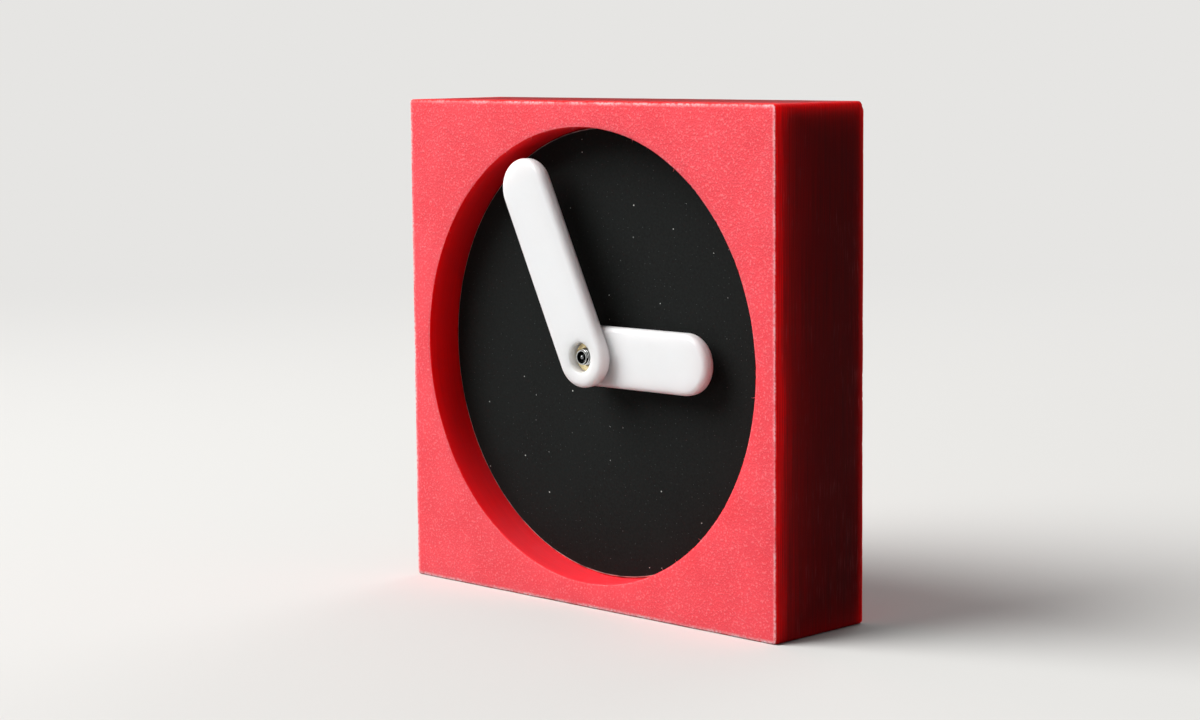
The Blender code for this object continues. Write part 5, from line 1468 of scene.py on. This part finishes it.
CAMERA_PLACE = (0.36462, -0.37646, 0.11127)
CAMERA_RIGHT = (0.711633, 0.702492, -0.009118)
CAMERA_UP = (-0.077327, 0.091219, 0.992824)
CAMERA_FORWARD = (-0.698283, 0.705821, -0.119236)
CAMERA_LENS = 79.24
CAMERA_SENSOR = 36.0
CAMERA_NEAR = 0.01
BACKDROP = "#E6E5E3"
FLOOR_SEEN = "#D3D2CF"
FLOOR_SENT_BACK = "#7E7D7B"
FLOOR_REACH = 8.0
FLOOR_FADE = (0.15, 0.8)
ROOM = "#F4F4F6"
# How bright the room is on the left and on the right, and how far each way that level starts
ROOM_LEFT, ROOM_RIGHT = 0.52, 0.11
ROOM_LEFT_END, ROOM_RIGHT_END = -0.3, 0.5

# Soft boxes in metres and watts: name, place, width, power. The key stands to the left of the front and
# above it
LIGHTS = (
    ("key", (-1.20, -1.47, 1.80), 2.2, 106.0),
    ("back", (-0.35, 1.2, 0.6), 0.8, 4.0),
)


def make_camera():
    """The camera that was fitted to the block's corners and the recess in the photograph."""
    data = bpy.data.cameras.new("camera")
    data.sensor_width = CAMERA_SENSOR
    data.lens = CAMERA_LENS
    data.clip_start = CAMERA_NEAR
    camera = bpy.data.objects.new("camera", data)
    bpy.context.scene.collection.objects.link(camera)
    turned = Matrix([CAMERA_RIGHT, CAMERA_UP, [-c for c in CAMERA_FORWARD]]).transposed().to_4x4()
    camera.matrix_world = Matrix.Translation(CAMERA_PLACE) @ turned
    bpy.context.scene.camera = camera


def make_light(name, place, size, power):
    """A round soft box that faces the middle of the clock."""
    data = bpy.data.lights.new(name, "AREA")
    data.shape = "DISK"
    data.size = size
    data.energy = power
    lamp = bpy.data.objects.new(name, data)
    bpy.context.scene.collection.objects.link(lamp)
    lamp.location = place
    aim = Vector((0.0, 0.0, AXIS_HEIGHT)) - lamp.location
    lamp.rotation_euler = aim.to_track_quat("-Z", "Y").to_euler()


def seen_rays(tree):
    """1 for the rays that show a thing itself or its reflection, and 0 for those that only light others."""
    path = add(tree, "ShaderNodeLightPath").outputs
    seen = add(tree, "ShaderNodeMath", LARGER, n0=path["Is Camera Ray"], n1=path["Is Glossy Ray"])
    return add(tree, "ShaderNodeMath", LARGER, n0=seen, n1=path["Is Transmission Ray"])


def make_floor():
    """A pale floor that keeps the shadow near the clock and runs into the backdrop further off."""
    mesh = bpy.data.meshes.new("floor")
    corners = [(x * FLOOR_REACH, y * FLOOR_REACH, 0.0) for x, y in ((-1, -1), (1, -1), (1, 1), (-1, 1))]
    mesh.from_pydata(corners, [], [(0, 1, 2, 3)])
    floor = bpy.data.objects.new("floor", mesh)
    bpy.context.scene.collection.objects.link(floor)
    material, tree, coords = new_material("paint_plain_pale")
    seen = seen_rays(tree)
    colour = add(tree, "ShaderNodeMix", COLOUR, Factor=seen, A=linear(FLOOR_SENT_BACK), B=linear(FLOOR_SEEN))
    paint = add(tree, "ShaderNodeBsdfDiffuse", Color=colour)
    backdrop = add(tree, "ShaderNodeEmission", Color=linear(BACKDROP))
    distance = add(tree, "ShaderNodeVectorMath", LENGTH, Vector=coords).outputs["Value"]
    near, away = FLOOR_FADE
    smooth = {"interpolation_type": "SMOOTHSTEP"}
    far = add(tree, "ShaderNodeMapRange", smooth, Value=distance, From_Min=near, From_Max=away)
    share = add(tree, "ShaderNodeMath", TIMES, n0=far, n1=seen)
    surface = add(tree, "ShaderNodeMixShader", n0=share, n1=paint, n2=backdrop)
    add(tree, "ShaderNodeOutputMaterial", Surface=surface)
    mesh.materials.append(material)


def make_world():
    """Soft light from all round, and the plain backdrop behind it."""
    world = bpy.data.worlds.new("studio")
    bpy.context.scene.world = world
    world.use_nodes = True
    tree = world.node_tree
    tree.nodes.clear()
    # The room is dimmer to the right, so that side of the block is in shade
    towards = add(tree, "ShaderNodeTexCoord").outputs["Generated"]
    rightwards = add(tree, "ShaderNodeSeparateXYZ", Vector=towards).outputs["X"]
    level = add(
        tree,
        "ShaderNodeMapRange",
        Value=rightwards,
        From_Min=ROOM_LEFT_END,
        From_Max=ROOM_RIGHT_END,
        To_Min=ROOM_LEFT,
        To_Max=ROOM_RIGHT,
    )
    soft = add(tree, "ShaderNodeBackground", Color=linear(ROOM), Strength=level)
    backdrop = add(tree, "ShaderNodeBackground", Color=linear(BACKDROP), Strength=1.0)
    surface = add(tree, "ShaderNodeMixShader", n0=seen_rays(tree), n1=soft, n2=backdrop)
    add(tree, "ShaderNodeOutputWorld", Surface=surface)


# Putting it together

materials = make_materials()
trees = {"helix": helix_tree(), "burrs": burr_tree(), "ribs": rib_tree(), "plate": plate_tree()}

slots = {name: node.data.materials[0].name.split(".")[0] for name, node in nodes.items()}
for name, node in nodes.items():
    node.data.materials[0] = materials[STAMPED.get(name, slots[name])]

make_block()
make_dial()
make_hands()
make_minute_bush()
make_hour_bush()
make_minute_thread()
make_seconds_end()
make_bushing()
make_nut()
make_cell()
make_softened()
make_cover_marks()

make_floor()
make_world()
for light in LIGHTS:
    make_light(*light)
make_camera()
bpy.context.scene.view_settings.view_transform = "Standard"
